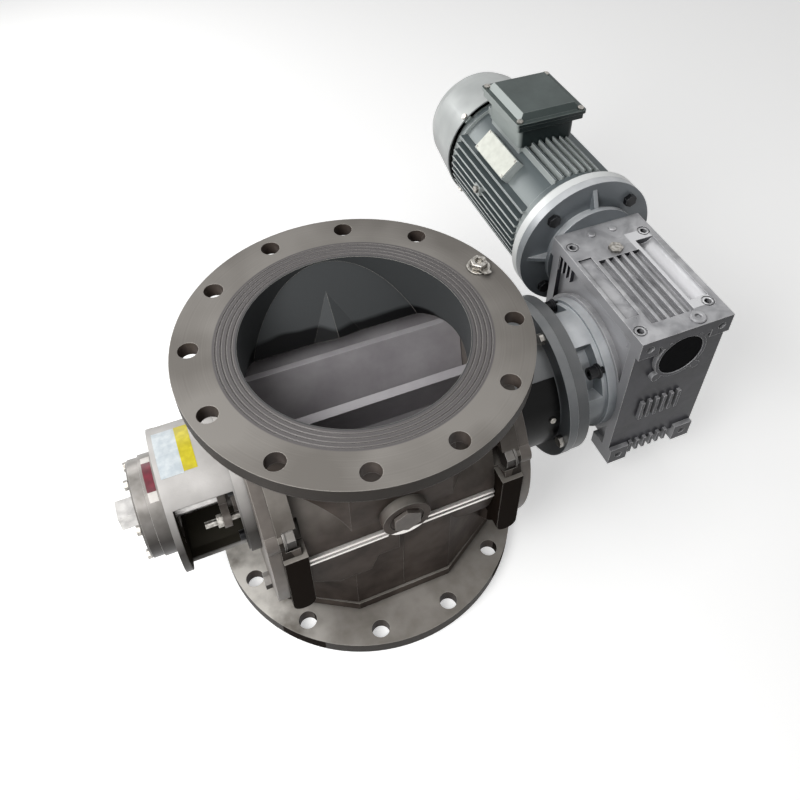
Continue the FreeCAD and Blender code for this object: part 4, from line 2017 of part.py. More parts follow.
PIECES = {
    "body_casting": body_casting,
    "end_cover_free": end_cover_free,
    "end_cover_drive": end_cover_drive,
    "end_cover_bolts": end_cover_bolts,
    "packing_rings": packing_rings,
    "gland_followers": gland_follower,
    "gland_studs": gland_studs,
    "lantern_free": lantern_free,
    "lantern_drive": lantern_drive,
    "lantern_screws": lantern_screws,
    "bearing_housing_free": bearing_housing_free,
    "bearing_cap_free": bearing_cap_free,
    "bearing_cover_drive": bearing_cover_drive,
    "bearing_screws": bearing_screws,
    "bearing_outer_rings": bearing_outer_rings,
    "bearing_inner_rings": bearing_inner_rings,
    "bearing_balls": bearing_balls,
    "window_guards": window_guards,
    "window_guard_screws": window_guard_screws,
    "port_plugs": port_plugs,
    "rotor_vanes": rotor_vanes,
    "rotor_shaft": rotor_shaft,
    "drive_key": drive_key,
    "hollow_output_shaft": hollow_output_shaft,
    "worm_wheel": worm_wheel,
    "wheel_bearing_outer_rings": wheel_bearing_outer_rings,
    "wheel_bearing_inner_rings": wheel_bearing_inner_rings,
    "worm_shaft": worm_shaft,
    "worm_bearing_outer_rings": worm_bearing_outer_rings,
    "worm_bearing_inner_rings": worm_bearing_inner_rings,
    "worm_cap": worm_cap,
    "gearbox_housing": gearbox_housing,
    "gearbox_side_cover": gearbox_side_cover,
    "gearbox_oil_seals": oil_seals,
    "oil_plugs": oil_plugs,
    "output_flange": output_flange,
    "output_flange_bolts": output_flange_bolts,
    "drive_flange_bolts": drive_flange_bolts,
    "input_flange": input_flange,
    "motor_bolts": motor_bolts,
    "motor_end_shield": motor_end_shield,
    "motor_frame": motor_frame,
    "motor_earth_screw": motor_earth_screw,
    "nameplate": nameplate,
    "stator_core": stator_core,
    "stator_windings": stator_windings,
    "motor_rotor": motor_rotor,
    "motor_shaft": motor_shaft,
    "motor_key": motor_key,
    "motor_bearing_outer_rings": motor_bearing_outer_rings,
    "motor_bearing_inner_rings": motor_bearing_inner_rings,
    "motor_rear_shield": motor_rear_shield,
    "cooling_fan": cooling_fan,
    "fan_cowl": fan_cowl,
    "fan_cowl_screws": fan_cowl_screws,
    "terminal_box": terminal_box,
    "terminal_gasket": terminal_gasket,
    "terminal_block": terminal_block,
    "terminal_box_lid": terminal_box_lid,
    "terminal_lid_screws": terminal_lid_screws,
}

for name, make in PIECES.items():
    piece = make()
    print(name, len(piece.Solids), round(piece.Volume / 1000.0, 1), piece.isValid())
    piece.exportStep("parts/" + name + ".step")
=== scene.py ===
# Rotary airlock valve with a worm gearbox and a finned motor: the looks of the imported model.
import math
import bmesh
import bpy
from mathutils import Matrix, Vector


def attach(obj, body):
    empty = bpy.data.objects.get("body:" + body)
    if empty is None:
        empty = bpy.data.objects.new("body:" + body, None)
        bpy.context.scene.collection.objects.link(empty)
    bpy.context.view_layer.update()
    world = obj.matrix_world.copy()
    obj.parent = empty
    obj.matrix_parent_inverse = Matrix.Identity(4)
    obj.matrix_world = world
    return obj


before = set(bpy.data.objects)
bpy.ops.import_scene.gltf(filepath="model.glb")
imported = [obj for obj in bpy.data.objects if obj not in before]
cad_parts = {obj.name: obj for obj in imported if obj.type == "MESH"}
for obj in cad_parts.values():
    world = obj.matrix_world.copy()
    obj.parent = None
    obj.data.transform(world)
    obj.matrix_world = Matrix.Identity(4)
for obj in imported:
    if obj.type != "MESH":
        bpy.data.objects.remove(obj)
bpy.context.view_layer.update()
scene = bpy.context.scene


# Camera. The photograph was taken from above, at the front and a little to the left, by hand:
# it is rolled by 1.6 degrees, and the object isn't in the middle of its frame.
CAMERA_AZIMUTH = math.radians(-24.87)
CAMERA_ELEVATION = math.radians(45.66)
CAMERA_ROLL = math.radians(1.61)
CAMERA_PLACE = Vector((-0.17476, -0.57529, 1.00540))
CAMERA_FOCUS = 819.39 / 800
CAMERA_CENTRE = (433.48 / 800, 312.78 / 800)

flat = math.cos(CAMERA_ELEVATION)
back = Vector((math.sin(CAMERA_AZIMUTH) * flat, -math.cos(CAMERA_AZIMUTH) * flat, math.sin(CAMERA_ELEVATION)))
level = Vector((math.cos(CAMERA_AZIMUTH), math.sin(CAMERA_AZIMUTH), 0.0))
upright = back.cross(level)
right = level * math.cos(CAMERA_ROLL) + upright * math.sin(CAMERA_ROLL)
up = upright * math.cos(CAMERA_ROLL) - level * math.sin(CAMERA_ROLL)
camera = bpy.data.objects.new("camera", bpy.data.cameras.new("camera"))
scene.collection.objects.link(camera)
camera.matrix_world = Matrix((right, up, back)).transposed().to_4x4()
camera.location = CAMERA_PLACE
camera.data.sensor_width = 36.0
camera.data.lens = 36.0 * CAMERA_FOCUS
camera.data.shift_x = 0.5 - CAMERA_CENTRE[0]
camera.data.shift_y = CAMERA_CENTRE[1] - 0.5
camera.data.clip_start = 0.05
camera.data.clip_end = 60.0
scene.camera = camera


# Floor and backdrop. The photograph's ground was cut away and is plain white, so the floor
# is pale matt card. It reads white to the eye and to metal, and keeps the object's shadow.
FLOOR_SIZE = 14.0
FLOOR_SEEN = "f4f4f3"
FLOOR_BOUNCE = "3a3836"
FLOOR_LIFT = 0.47


def colour(code):
    """Linear colour from an sRGB hex value."""
    parts = [int(code[k:k + 2], 16) / 255 for k in (0, 2, 4)]
    return [p / 12.92 if p <= 0.04045 else ((p + 0.055) / 1.055) ** 2.4 for p in parts] + [1.0]


def add(tree, kind, inputs=None, stops=None, **settings):
    """Adds a node. Its inputs, by name or number, are values or other nodes' outputs."""
    node = tree.nodes.new("ShaderNode" + kind)
    for name, value in settings.items():
        setattr(node, name, value)
    for key, value in (inputs or {}).items():
        if isinstance(value, bpy.types.NodeSocket):
            tree.links.new(value, node.inputs[key])
        else:
            node.inputs[key].default_value = value
    for k, (place, tint) in enumerate(stops or []):
        if k > 1:
            node.color_ramp.elements.new(place)
        node.color_ramp.elements[k].position = place
        node.color_ramp.elements[k].color = tint
    return node


def maths(tree, operation, *values):
    """Output of a Math node on values or sockets."""
    return add(tree, "Math", dict(enumerate(values)), operation=operation).outputs[0]


def mix(tree, factor, under, over, blend="MIX"):
    """Output of a colour mix: the first colour at 0 and the second at 1."""
    return add(tree, "Mix", {0: factor, 6: under, 7: over}, data_type="RGBA", blend_type=blend).outputs[2]


def overlap(tree, mask, *others):
    """Product of masks, which is 1 only where all of them are."""
    for other in others:
        mask = maths(tree, "MULTIPLY", mask, other)
    return mask


def spread(tree, value, start=0.0, end=1.0, low=0.0, high=1.0):
    """Output of a Map Range node, from start..end to low..high."""
    given = {"Value": value, "From Min": start, "From Max": end, "To Min": low, "To Max": high}
    return add(tree, "MapRange", given).outputs[0]


def ramp(tree, value, first, dark, last, light):
    """Output of a ramp between two sRGB hex colours."""
    return add(tree, "ValToRGB", {0: value}, stops=[(first, colour(dark)), (last, colour(light))]).outputs[0]


def material(name, **sockets):
    """New material with its node tree and its shader; sockets are the shader's own values."""
    made = bpy.data.materials.new(name)
    made.use_nodes = True
    tree = made.node_tree
    tree.nodes.clear()
    shader = add(tree, "BsdfPrincipled")
    add(tree, "OutputMaterial", {"Surface": shader.outputs[0]})
    for key, value in sockets.items():
        shader.inputs[key.replace("_", " ")].default_value = value
    return made, tree, shader


def wire(tree, shader, **sockets):
    """Links other nodes' outputs to the shader's sockets."""
    for key, output in sockets.items():
        tree.links.new(output, shader.inputs[key.replace("_", " ")])


made, tree, shader = material("matt_card_backdrop", Roughness=0.9)
path = add(tree, "LightPath")
seen = maths(tree, "MAXIMUM", path.outputs["Is Camera Ray"], path.outputs["Is Glossy Ray"])
seen = maths(tree, "MAXIMUM", seen, path.outputs["Is Transmission Ray"])
tint = mix(tree, seen, colour(FLOOR_BOUNCE), colour(FLOOR_SEEN))
lift = maths(tree, "MULTIPLY", seen, FLOOR_LIFT)
wire(tree, shader, Base_Color=tint, Emission_Strength=lift)
shader.inputs["Emission Color"].default_value = (1.0, 1.0, 1.0, 1.0)

mesh = bpy.data.meshes.new("floor")
half = FLOOR_SIZE / 2
mesh.from_pydata([(-half, -half, 0), (half, -half, 0), (half, half, 0), (-half, half, 0)], [], [(0, 1, 2, 3)])
floor = bpy.data.objects.new("floor", mesh)
floor.location.z = -0.0005
mesh.materials.append(made)
scene.collection.objects.link(floor)


# Studio light. A soft lamp above and to the left lights the upper and left faces, and the
# front stays dark. A low window behind on the left only glances along the glossy faces.
ROOM_SEEN = 1.0
ROOM_LIGHT = 0.13
LAMPS = [
    ("key_lamp", (-0.80, -0.42, 1.15), (0.8, 0.8), 15.0),
    ("top_lamp", (0.2, 0.0, 2.0), (1.6, 1.6), 4.5),
    ("window_lamp", (-0.65, 1.5, 0.9), (0.9, 0.7), 8.0),
]
LAMP_AIM = Vector((0.05, 0.0, 0.2))

world = bpy.data.worlds.new("studio_room")
world.use_nodes = True
room = world.node_tree
room.nodes.clear()
path = add(room, "LightPath")
seen = maths(room, "MAXIMUM", path.outputs["Is Camera Ray"], path.outputs["Is Glossy Ray"])
seen = maths(room, "MAXIMUM", seen, path.outputs["Is Transmission Ray"])
power = spread(room, seen, low=ROOM_LIGHT, high=ROOM_SEEN)
shade = add(room, "Background", {"Color": (1.0, 1.0, 1.0, 1.0), "Strength": power})
add(room, "OutputWorld", {"Surface": shade.outputs[0]})
scene.world = world

for name, place, size, watts in LAMPS:
    lamp = bpy.data.lights.new(name, "AREA")
    lamp.shape = "RECTANGLE"
    lamp.size, lamp.size_y = size
    lamp.energy = watts
    holder = bpy.data.objects.new(name, lamp)
    holder.location = place
    holder.rotation_euler = (LAMP_AIM - Vector(place)).to_track_quat("-Z", "Y").to_euler()
    scene.collection.objects.link(holder)
scene.view_settings.view_transform = "Standard"


# Body casting. One stainless steel casting, shot-blasted to a dull warm grey. The flange
# faces and rims are turned, the throat is left rough, and the rib crests carry a painted highlight.
FACE_LIGHT = "8f8b86"
FACE_DARK = "76726d"
SEAL_BAND = "666363"
UPPER_LIGHT = "a19c96"
UPPER_DARK = "827d76"
SIDE_LIGHT = "5d544e"
SIDE_DARK = "3c3430"
RIM_SHADE = "2e2925"
PAD_SHADE = "221c18"
LIT_PATCH = "e2ded7"
THROAT_GREY = "47494a"
CREST_HIGHLIGHT = "fbf7f3"
LIP_SHADOW_BLACK = "0a0a0b"
EDGE_WEAR_HIGHLIGHT = "c9c4bd"
BLAST_GRAIN = 0.0012
EDGE_REACH = 0.0011
# Where the skins change, in metres: heights from the outlet's face, and radii of the throat.
FACE_ABOVE = 0.357
SOLE_BELOW = 0.002
FOOT_BELOW = 0.020
RIM_FROM = 0.1935
BAND_OUT = 0.1500
BAND_FADE = 0.0012
THROAT_TO = 0.1265
LIT_FROM = -0.09
LIT_FULL = -0.165
SHADOW_LOW = 0.292
SHADOW_HIGH = 0.308
SHADOW_SLOPE = -0.03
SHADOW_FADE = 0.004
PAD_X = 0.1128
PAD_Y = 0.1185
PAD_BELOW = 0.2195
CREST_X = 0.1125
CREST_Y = 0.1352
CREST_MIDDLE = 0.180
CREST_HALF = 0.0066


def relief(tree, strength, distance, height, normal=None):
    """Output of a Bump node, over a given normal if there is one."""
    given = {"Strength": strength, "Distance": distance, "Height": height}
    if normal:
        given["Normal"] = normal
    return add(tree, "Bump", given).outputs[0]


def dress(made, *nodes):
    """Gives CAD nodes a material through their slots."""
    for node in nodes:
        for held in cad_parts[node].material_slots:
            held.material = made


def edges(tree, reach):
    """Rounded normal along the edges, a mask that is 1 on outside edges, and the open air around."""
    bevel = add(tree, "Bevel", {"Radius": reach}, samples=4)
    face = add(tree, "NewGeometry")
    turn = add(tree, "VectorMath", {0: bevel.outputs[0], 1: face.outputs["Normal"]}, operation="DOT_PRODUCT")
    corner = spread(tree, turn.outputs["Value"], start=0.995, end=0.85)
    hollow = add(tree, "AmbientOcclusion", {"Distance": reach * 6}, samples=4)
    open_air = spread(tree, hollow.outputs["AO"], start=0.55, end=0.95)
    outside = maths(tree, "MULTIPLY", corner, open_air)
    return bevel.outputs[0], outside, hollow.outputs["AO"]


def upward(tree):
    """1 on faces that look up and 0 on upright and lower ones; the materials use it to paint light and shade.
    """
    axes = add(tree, "SeparateXYZ", {0: add(tree, "NewGeometry").outputs["Normal"]})
    return spread(tree, axes.outputs["Z"], start=0.15, end=0.85)


def leftward(tree):
    """1 on faces that look left, towards the lamp, and 0 on the front, back and right ones."""
    axes = add(tree, "SeparateXYZ", {0: add(tree, "NewGeometry").outputs["Normal"]})
    return spread(tree, axes.outputs["X"], start=-0.25, end=-0.85)


made, tree, shader = material("shot_blasted_cast_steel")
rounded, worn, open_air = edges(tree, EDGE_REACH)
where = add(tree, "TexCoord").outputs["Object"]
axes = add(tree, "SeparateXYZ", {0: where}).outputs
flat_xy = add(tree, "CombineXYZ", {"X": axes["X"], "Y": axes["Y"]})
radius = add(tree, "VectorMath", {0: flat_xy.outputs[0]}, operation="LENGTH").outputs["Value"]
facing = add(tree, "SeparateXYZ", {0: add(tree, "NewGeometry").outputs["Normal"]}).outputs
level_face = maths(tree, "GREATER_THAN", maths(tree, "ABSOLUTE", facing["Z"]), 0.6)
upright_face = maths(tree, "SUBTRACT", 1.0, level_face)
# Blasted skin: cloudy over some 40 mm, with a grain of about 1 mm.
clouds = add(tree, "TexNoise", {"Vector": where, "Scale": 24.0, "Detail": 4.0}).outputs["Fac"]
# Faces that look up are painted lighter, as painted light, and upright and lower faces darker, as painted
# shade.
sides = ramp(tree, clouds, 0.35, SIDE_DARK, 0.65, SIDE_LIGHT)
upper = ramp(tree, clouds, 0.35, UPPER_DARK, 0.65, UPPER_LIGHT)
cast = mix(tree, upward(tree), sides, upper)
# The outlet flange's left part is painted pale in blotches, as painted light from the lamp.
lit_left = spread(tree, axes["X"], start=LIT_FROM, end=LIT_FULL)
blotch = spread(tree, clouds, start=0.35, end=0.6)
foot = maths(tree, "LESS_THAN", axes["Z"], FOOT_BELOW)
cast = mix(tree, overlap(tree, lit_left, blotch, foot, level_face), cast, colour(LIT_PATCH))
# The flanges' upright rims are painted dark, as painted shade.
shaded_rim = overlap(tree, maths(tree, "GREATER_THAN", radius, RIM_FROM), upright_face)
cast = mix(tree, shaded_rim, cast, colour(RIM_SHADE))
# Turned face: rings too fine to count, so they only show as faint bands some 2 mm wide.
streaks = add(tree, "TexNoise", {"W": radius, "Scale": 500.0, "Detail": 1.0}, noise_dimensions="1D")
wide = add(tree, "TexNoise", {"Vector": where, "Scale": 9.0, "Detail": 2.0}).outputs["Fac"]
streaks = maths(tree, "ADD", spread(tree, streaks.outputs["Fac"], low=-0.04, high=0.04), wide)
face = ramp(tree, streaks, 0.38, FACE_DARK, 0.62, FACE_LIGHT)
band = spread(tree, radius, start=BAND_OUT, end=BAND_OUT + BAND_FADE, low=1.0, high=0.0)
face = mix(tree, band, face, colour(SEAL_BAND))
top = maths(tree, "GREATER_THAN", axes["Z"], FACE_ABOVE)
sole = maths(tree, "LESS_THAN", axes["Z"], SOLE_BELOW)
ends = overlap(tree, maths(tree, "ADD", top, sole), level_face)
skin = mix(tree, ends, cast, face)
# The throat is darker: it was never blasted inside, and product has polished it dull.
within = maths(tree, "LESS_THAN", radius, THROAT_TO)
skin = mix(tree, within, skin, colour(THROAT_GREY))
# Round the lip behind the vanes the throat is painted black up to a wavy line, as painted shadow.
wave = spread(tree, wide, start=0.3, end=0.7, low=SHADOW_LOW, high=SHADOW_HIGH)
wave = maths(tree, "ADD", wave, maths(tree, "MULTIPLY", axes["X"], SHADOW_SLOPE))
lip_shadow = spread(tree, maths(tree, "SUBTRACT", wave, axes["Z"]), start=0.0, end=SHADOW_FADE)
behind = maths(tree, "GREATER_THAN", axes["Y"], 0.0)
skin = mix(tree, overlap(tree, lip_shadow, within, behind), skin, colour(LIP_SHADOW_BLACK))
# The upright faces of the thick pads at the corners are painted near black, with no specular
# shine, as painted shade.
across = maths(tree, "GREATER_THAN", maths(tree, "ABSOLUTE", axes["X"]), PAD_X)
beyond = maths(tree, "GREATER_THAN", maths(tree, "ABSOLUTE", axes["Y"]), PAD_Y)
under = maths(tree, "LESS_THAN", axes["Z"], PAD_BELOW)
shaded_pads = overlap(tree, across, beyond, upright_face, under)
skin = mix(tree, shaded_pads, skin, colour(PAD_SHADE))
# The ribs' crests stand furthest out beside the end flanges. They are painted near white and
# made metallic, as a painted highlight.
out = maths(tree, "GREATER_THAN", maths(tree, "ABSOLUTE", axes["Y"]), CREST_Y)
span = maths(tree, "COMPARE", axes["Z"], CREST_MIDDLE, CREST_HALF)
inner = maths(tree, "LESS_THAN", maths(tree, "ABSOLUTE", axes["X"]), CREST_X)
crest_highlight = overlap(tree, out, span, inner)
skin = mix(tree, crest_highlight, skin, colour(CREST_HIGHLIGHT))
# Hollows are darkened by their ambient occlusion, as painted shade.
hollow_shade = spread(tree, open_air, start=0.35, end=0.9, low=0.4, high=1.0)
skin = mix(tree, 1.0, skin, hollow_shade, "MULTIPLY")
# Outer edges are lightened, as edge wear and a painted highlight.
skin = mix(tree, maths(tree, "MULTIPLY", worn, 0.75), skin, colour(EDGE_WEAR_HIGHLIGHT))
grain = add(tree, "TexNoise", {"Vector": where, "Scale": 1.0 / BLAST_GRAIN, "Detail": 2.0}).outputs["Fac"]
depth = spread(tree, ends, low=0.35, high=0.05)
bump = relief(tree, depth, 0.0004, grain, rounded)
wire(tree, shader, Base_Color=skin, Roughness=spread(tree, ends, low=0.50, high=0.38),
     Metallic=spread(tree, crest_highlight, low=0.12, high=0.85),
     Specular_IOR_Level=spread(tree, shaded_pads, low=0.12, high=0.0), Normal=bump)
dress(made, "body_casting")


# Casting seam. The two halves of the sand mould met on the middle of the neck, and a thin
# ridge of flash is left there on the front and the back, from the skirt up to the boss.
SEAM_HALF = 0.0009
SEAM_OUT = 0.0007
SEAM_FRONT = 0.133
SEAM_FROM = 0.0235
SEAM_TO = 0.1795


def piece(name, bm, made, body):
    """Makes an object of a bmesh, with its material, that rides on a body."""
    bmesh.ops.recalc_face_normals(bm, faces=bm.faces)
    mesh = bpy.data.meshes.new(name)
    bm.to_mesh(mesh)
    bm.free()
    mesh.materials.append(made)
    thing = bpy.data.objects.new(name, mesh)
    scene.collection.objects.link(thing)
    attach(thing, body)
    return thing


cast_skin = made
bm = bmesh.new()
for side in (-1, 1):
    foot = [(-SEAM_HALF, SEAM_FRONT - 0.0005), (0.0, SEAM_FRONT + SEAM_OUT), (SEAM_HALF, SEAM_FRONT - 0.0005)]
    low = [bm.verts.new((x, side * y, SEAM_FROM)) for x, y in foot]
    high = [bm.verts.new((x, side * y, SEAM_TO)) for x, y in foot]
    for k in range(3):
        bm.faces.new((low[k], low[(k + 1) % 3], high[(k + 1) % 3], high[k]))
    bm.faces.new(low)
    bm.faces.new(high)
piece("casting_seam", bm, cast_skin, "housing")


# End covers, with the gland followers, the drive side's bearing cover and the hex plugs.
# The same cast steel as the body, turned on the faces and bolted on. The lathe leaves the
# skin smoother than the blasted body, so the edges and faces catch a soft light.
COVER_LIGHT = "827b75"
COVER_DARK = "5f5954"

made, tree, shader = material("turned_cast_steel", Metallic=0.15, Specular_IOR_Level=0.35)
rounded, worn = edges(tree, EDGE_REACH)[:2]
where = add(tree, "TexCoord").outputs["Object"]
clouds = add(tree, "TexNoise", {"Vector": where, "Scale": 30.0, "Detail": 3.0})
skin = ramp(tree, clouds.outputs["Fac"], 0.3, COVER_DARK, 0.7, COVER_LIGHT)
skin = mix(tree, worn, skin, colour("b9b4ae"))
grain = add(tree, "TexNoise", {"Vector": where, "Scale": 700.0})
bump = relief(tree, 0.2, 0.0003, grain.outputs["Fac"], rounded)
rough = spread(tree, clouds.outputs["Fac"], low=0.34, high=0.52)
wire(tree, shader, Base_Color=skin, Roughness=rough, Normal=bump)
dress(made, "end_cover_free", "end_cover_drive", "gland_followers", "bearing_cover_drive", "port_plugs")


# Rotor. Steel plate vanes welded on a hub tube and keyed on the shaft. The plate is ground
# along its length, so it looks satin, with fine lines and slightly paler, rubbed edges.
VANE_LIGHT = "aba8aa"
VANE_DARK = "938f92"
VANE_TIP = "b0adaf"

made, tree, shader = material("ground_steel_plate", Metallic=0.1, Specular_IOR_Level=0.4)
rounded, worn = edges(tree, 0.0009)[:2]
where = add(tree, "TexCoord").outputs["Object"]
clouds = add(tree, "TexNoise", {"Vector": where, "Scale": 16.0, "Detail": 4.0, "Roughness": 0.6})
skin = ramp(tree, clouds.outputs["Fac"], 0.3, VANE_DARK, 0.7, VANE_LIGHT)
skin = mix(tree, worn, skin, colour(VANE_TIP))
lines = add(tree, "Mapping", {"Vector": where, "Scale": (60.0, 900.0, 900.0)})
lines = add(tree, "TexNoise", {"Vector": lines.outputs[0], "Scale": 1.0})
bump = relief(tree, 0.12, 0.0002, lines.outputs["Fac"], rounded)
rough = spread(tree, clouds.outputs["Fac"], low=0.42, high=0.6)
wire(tree, shader, Base_Color=skin, Roughness=rough, Normal=bump)
dress(made, "rotor_vanes")


# Shafts, worm and keys. Bright steel, turned or ground all over, and held in the bearings.
# It mirrors its surroundings in a band along its length, blurred by the tool's fine rings.
SHAFT_GREY = "d6d4d1"

made, tree, shader = material("turned_steel", Metallic=1.0, Anisotropic=0.4)
rounded = edges(tree, 0.0006)[0]
where = add(tree, "TexCoord").outputs["Object"]
marks = add(tree, "TexNoise", {"Vector": where, "Scale": 90.0, "Detail": 2.0})
skin = ramp(tree, marks.outputs["Fac"], 0.35, "b5b3b1", 0.65, SHAFT_GREY)
rough = spread(tree, marks.outputs["Fac"], low=0.22, high=0.38)
wire(tree, shader, Base_Color=skin, Roughness=rough, Normal=rounded)
dress(made, "rotor_shaft", "hollow_output_shaft", "worm_shaft", "motor_shaft", "drive_key", "motor_key")


# Free lantern. Cast iron under two coats of pale aluminium paint, brushed on thick enough to
# soften the sand texture. The bearing's ring and cap are turned steel, wiped with the same.
SILVER_LIGHT = "cdcac7"
SILVER_DARK = "b4b1ae"
SILVER_SHADE = "3d3a37"
LANTERN_INSIDE_SHADE = "3b3831"
AXIS_HEIGHT = 0.180
INSIDE_FROM = 0.0825
INSIDE_FULL = 0.0810

made, tree, shader = material("aluminium_paint_on_casting", Metallic=0.15, Specular_IOR_Level=0.25)
rounded, worn, open_air = edges(tree, 0.0012)
where = add(tree, "TexCoord").outputs["Object"]
clouds = add(tree, "TexNoise", {"Vector": where, "Scale": 28.0, "Detail": 3.0})
skin = ramp(tree, clouds.outputs["Fac"], 0.3, SILVER_DARK, 0.7, SILVER_LIGHT)
# Upright and lower faces are painted dark, as painted shade.
skin = mix(tree, upward(tree), colour(SILVER_SHADE), skin)
# Inside is painted dark, with no specular shine, as painted shade.
depth = add(tree, "Mapping", {"Vector": where, "Location": (0.0, 0.0, -AXIS_HEIGHT), "Scale": (0.0, 1.0, 1.0)})
depth = add(tree, "VectorMath", {0: depth.outputs[0]}, operation="LENGTH").outputs["Value"]
inside_shade = spread(tree, depth, start=INSIDE_FROM, end=INSIDE_FULL)
skin = mix(tree, inside_shade, skin, colour(LANTERN_INSIDE_SHADE))
# Hollows are darkened by ambient occlusion, as painted shade.
hollow_shade = spread(tree, open_air, start=0.3, end=0.85, low=0.5, high=1.0)
skin = mix(tree, 1.0, skin, hollow_shade, "MULTIPLY")
grain = add(tree, "TexNoise", {"Vector": where, "Scale": 450.0, "Detail": 2.0})
bump = relief(tree, 0.25, 0.0004, grain.outputs["Fac"], rounded)
rough = spread(tree, clouds.outputs["Fac"], low=0.36, high=0.52)
wire(tree, shader, Base_Color=skin, Roughness=rough, Normal=bump,
     Specular_IOR_Level=spread(tree, inside_shade, low=0.25, high=0.0))
dress(made, "lantern_free")

made, tree, shader = material("satin_turned_steel", Metallic=0.3, Specular_IOR_Level=0.3)
rounded, worn = edges(tree, 0.0010)[:2]
where = add(tree, "TexCoord").outputs["Object"]
marks = add(tree, "TexNoise", {"Vector": where, "Scale": 70.0, "Detail": 2.0})
skin = ramp(tree, marks.outputs["Fac"], 0.3, "88847f", 0.7, "a5a19d")
# Upright and lower faces are painted dark, as painted shade.
skin = mix(tree, upward(tree), colour("36322f"), skin)
skin = mix(tree, worn, skin, colour("c6c3c0"))
rough = spread(tree, marks.outputs["Fac"], low=0.28, high=0.42)
wire(tree, shader, Base_Color=skin, Roughness=rough, Normal=rounded)
dress(made, "bearing_housing_free", "bearing_cap_free", "end_cover_bolts")


# Bare label stickers on the free lantern and its bearing ring. Vinyl film, pressed on the
# curved casting: a white one with a yellow band, and a crimson one with white ends.
STICKER_THICK = 0.00025
LANTERN_SKIN = 0.084
RING_SKIN = 0.059
STICKER_STEPS = 24


def curved_plate(bm, inner, thick, x0, x1, start, end, steps):
    """Adds a thin plate bent about the rotor's axis, between two angles up from level at the back."""
    rows = []
    for k in range(steps + 1):
        t = math.radians(start + (end - start) * k / steps)
        spots = [(inner, x0), (inner + thick, x0), (inner + thick, x1), (inner, x1)]
        rows.append([bm.verts.new((x, r * math.cos(t), AXIS_HEIGHT + r * math.sin(t))) for r, x in spots])
    for low, high in zip(rows, rows[1:]):
        for k in range(4):
            bm.faces.new((low[k], low[(k + 1) % 4], high[(k + 1) % 4], high[k]))
    bm.faces.new(rows[0])
    bm.faces.new(rows[-1])


STICKERS = [
    ("white_sticker", "c6d0d6", "dfe6e9", LANTERN_SKIN, [(-0.2322, -0.2078, 65.0, 110.0)]),
    ("yellow_sticker", "cbbb1f", "e0d12c", LANTERN_SKIN, [(-0.2078, -0.1930, 64.5, 109.0)]),
    ("crimson_sticker", "5c1524", "7d2234", RING_SKIN, [(-0.2508, -0.2412, 74.0, 112.0)]),
    ("white_sticker_ends", "d9d3cd", "e8e3de", RING_SKIN,
     [(-0.2508, -0.2412, 63.0, 73.8), (-0.2508, -0.2412, 112.2, 123.0)]),
]
for name, dark, light, inner, spans in STICKERS:
    made, tree, shader = material(name + "_vinyl", Roughness=0.38)
    where = add(tree, "TexCoord").outputs["Object"]
    marks = add(tree, "TexNoise", {"Vector": where, "Scale": 110.0, "Detail": 2.0})
    skin = ramp(tree, marks.outputs["Fac"], 0.35, dark, 0.65, light)
    bump = relief(tree, 0.08, 0.0002, marks.outputs["Fac"])
    wire(tree, shader, Base_Color=skin, Normal=bump)
    bm = bmesh.new()
    for x0, x1, start, end in spans:
        curved_plate(bm, inner, STICKER_THICK, x0, x1, start, end, STICKER_STEPS)
    piece(name, bm, made, "housing")


# Screws, studs, nuts and oil plugs. Zinc plated steel, screwed into tapped holes. The plating
# is bright and slightly mottled, and the corners under the heads are darkened as painted shade.
made, tree, shader = material("zinc_plated_steel", Metallic=1.0)
rounded, worn, open_air = edges(tree, 0.0005)
where = add(tree, "TexCoord").outputs["Object"]
marks = add(tree, "TexNoise", {"Vector": where, "Scale": 260.0, "Detail": 2.0})
skin = ramp(tree, marks.outputs["Fac"], 0.35, "85817b", 0.65, "bfbcb6")
hollow_shade = spread(tree, open_air, start=0.3, end=0.9, low=0.3, high=1.0)
skin = mix(tree, 1.0, skin, hollow_shade, "MULTIPLY")
rough = spread(tree, marks.outputs["Fac"], low=0.25, high=0.42)
wire(tree, shader, Base_Color=skin, Roughness=rough, Normal=rounded)
dress(made, "gland_studs", "bearing_screws", "window_guard_screws", "drive_flange_bolts", "oil_plugs",
      "fan_cowl_screws", "terminal_lid_screws", "motor_earth_screw")
zinc = made


# Earthing bolt in one hole of the inlet flange. A plated hexagon socket screw clamps a
# washer and a cable tag to the flange, with a washer and a nut underneath.
EARTH_ANGLE = math.radians(15.0)
EARTH_CIRCLE = 0.175
FLANGE_TOP = 0.360
FLANGE_UNDER = 0.342


def turned(bm, outline, steps, place):
    """Adds a turned body about the place's own Z. With six steps it is a hexagon.
    The outline is (radius, height) pairs; it starts and ends on the axis, or closes on itself."""
    rings = []
    for r, z in outline:
        count = steps if r > 0 else 1
        angles = [2 * math.pi * k / steps for k in range(count)]
        rings.append([bm.verts.new(place @ Vector((r * math.cos(a), r * math.sin(a), z))) for a in angles])
    pairs = list(zip(rings, rings[1:]))
    if outline[0][0] > 0:
        pairs.append((rings[-1], rings[0]))
    for low, high in pairs:
        for k in range(steps):
            n = (k + 1) % steps
            corners = [low[k % len(low)], low[n % len(low)], high[n % len(high)], high[k % len(high)]]
            corners = list(dict.fromkeys(corners))
            if len(corners) > 2:
                bm.faces.new(corners)


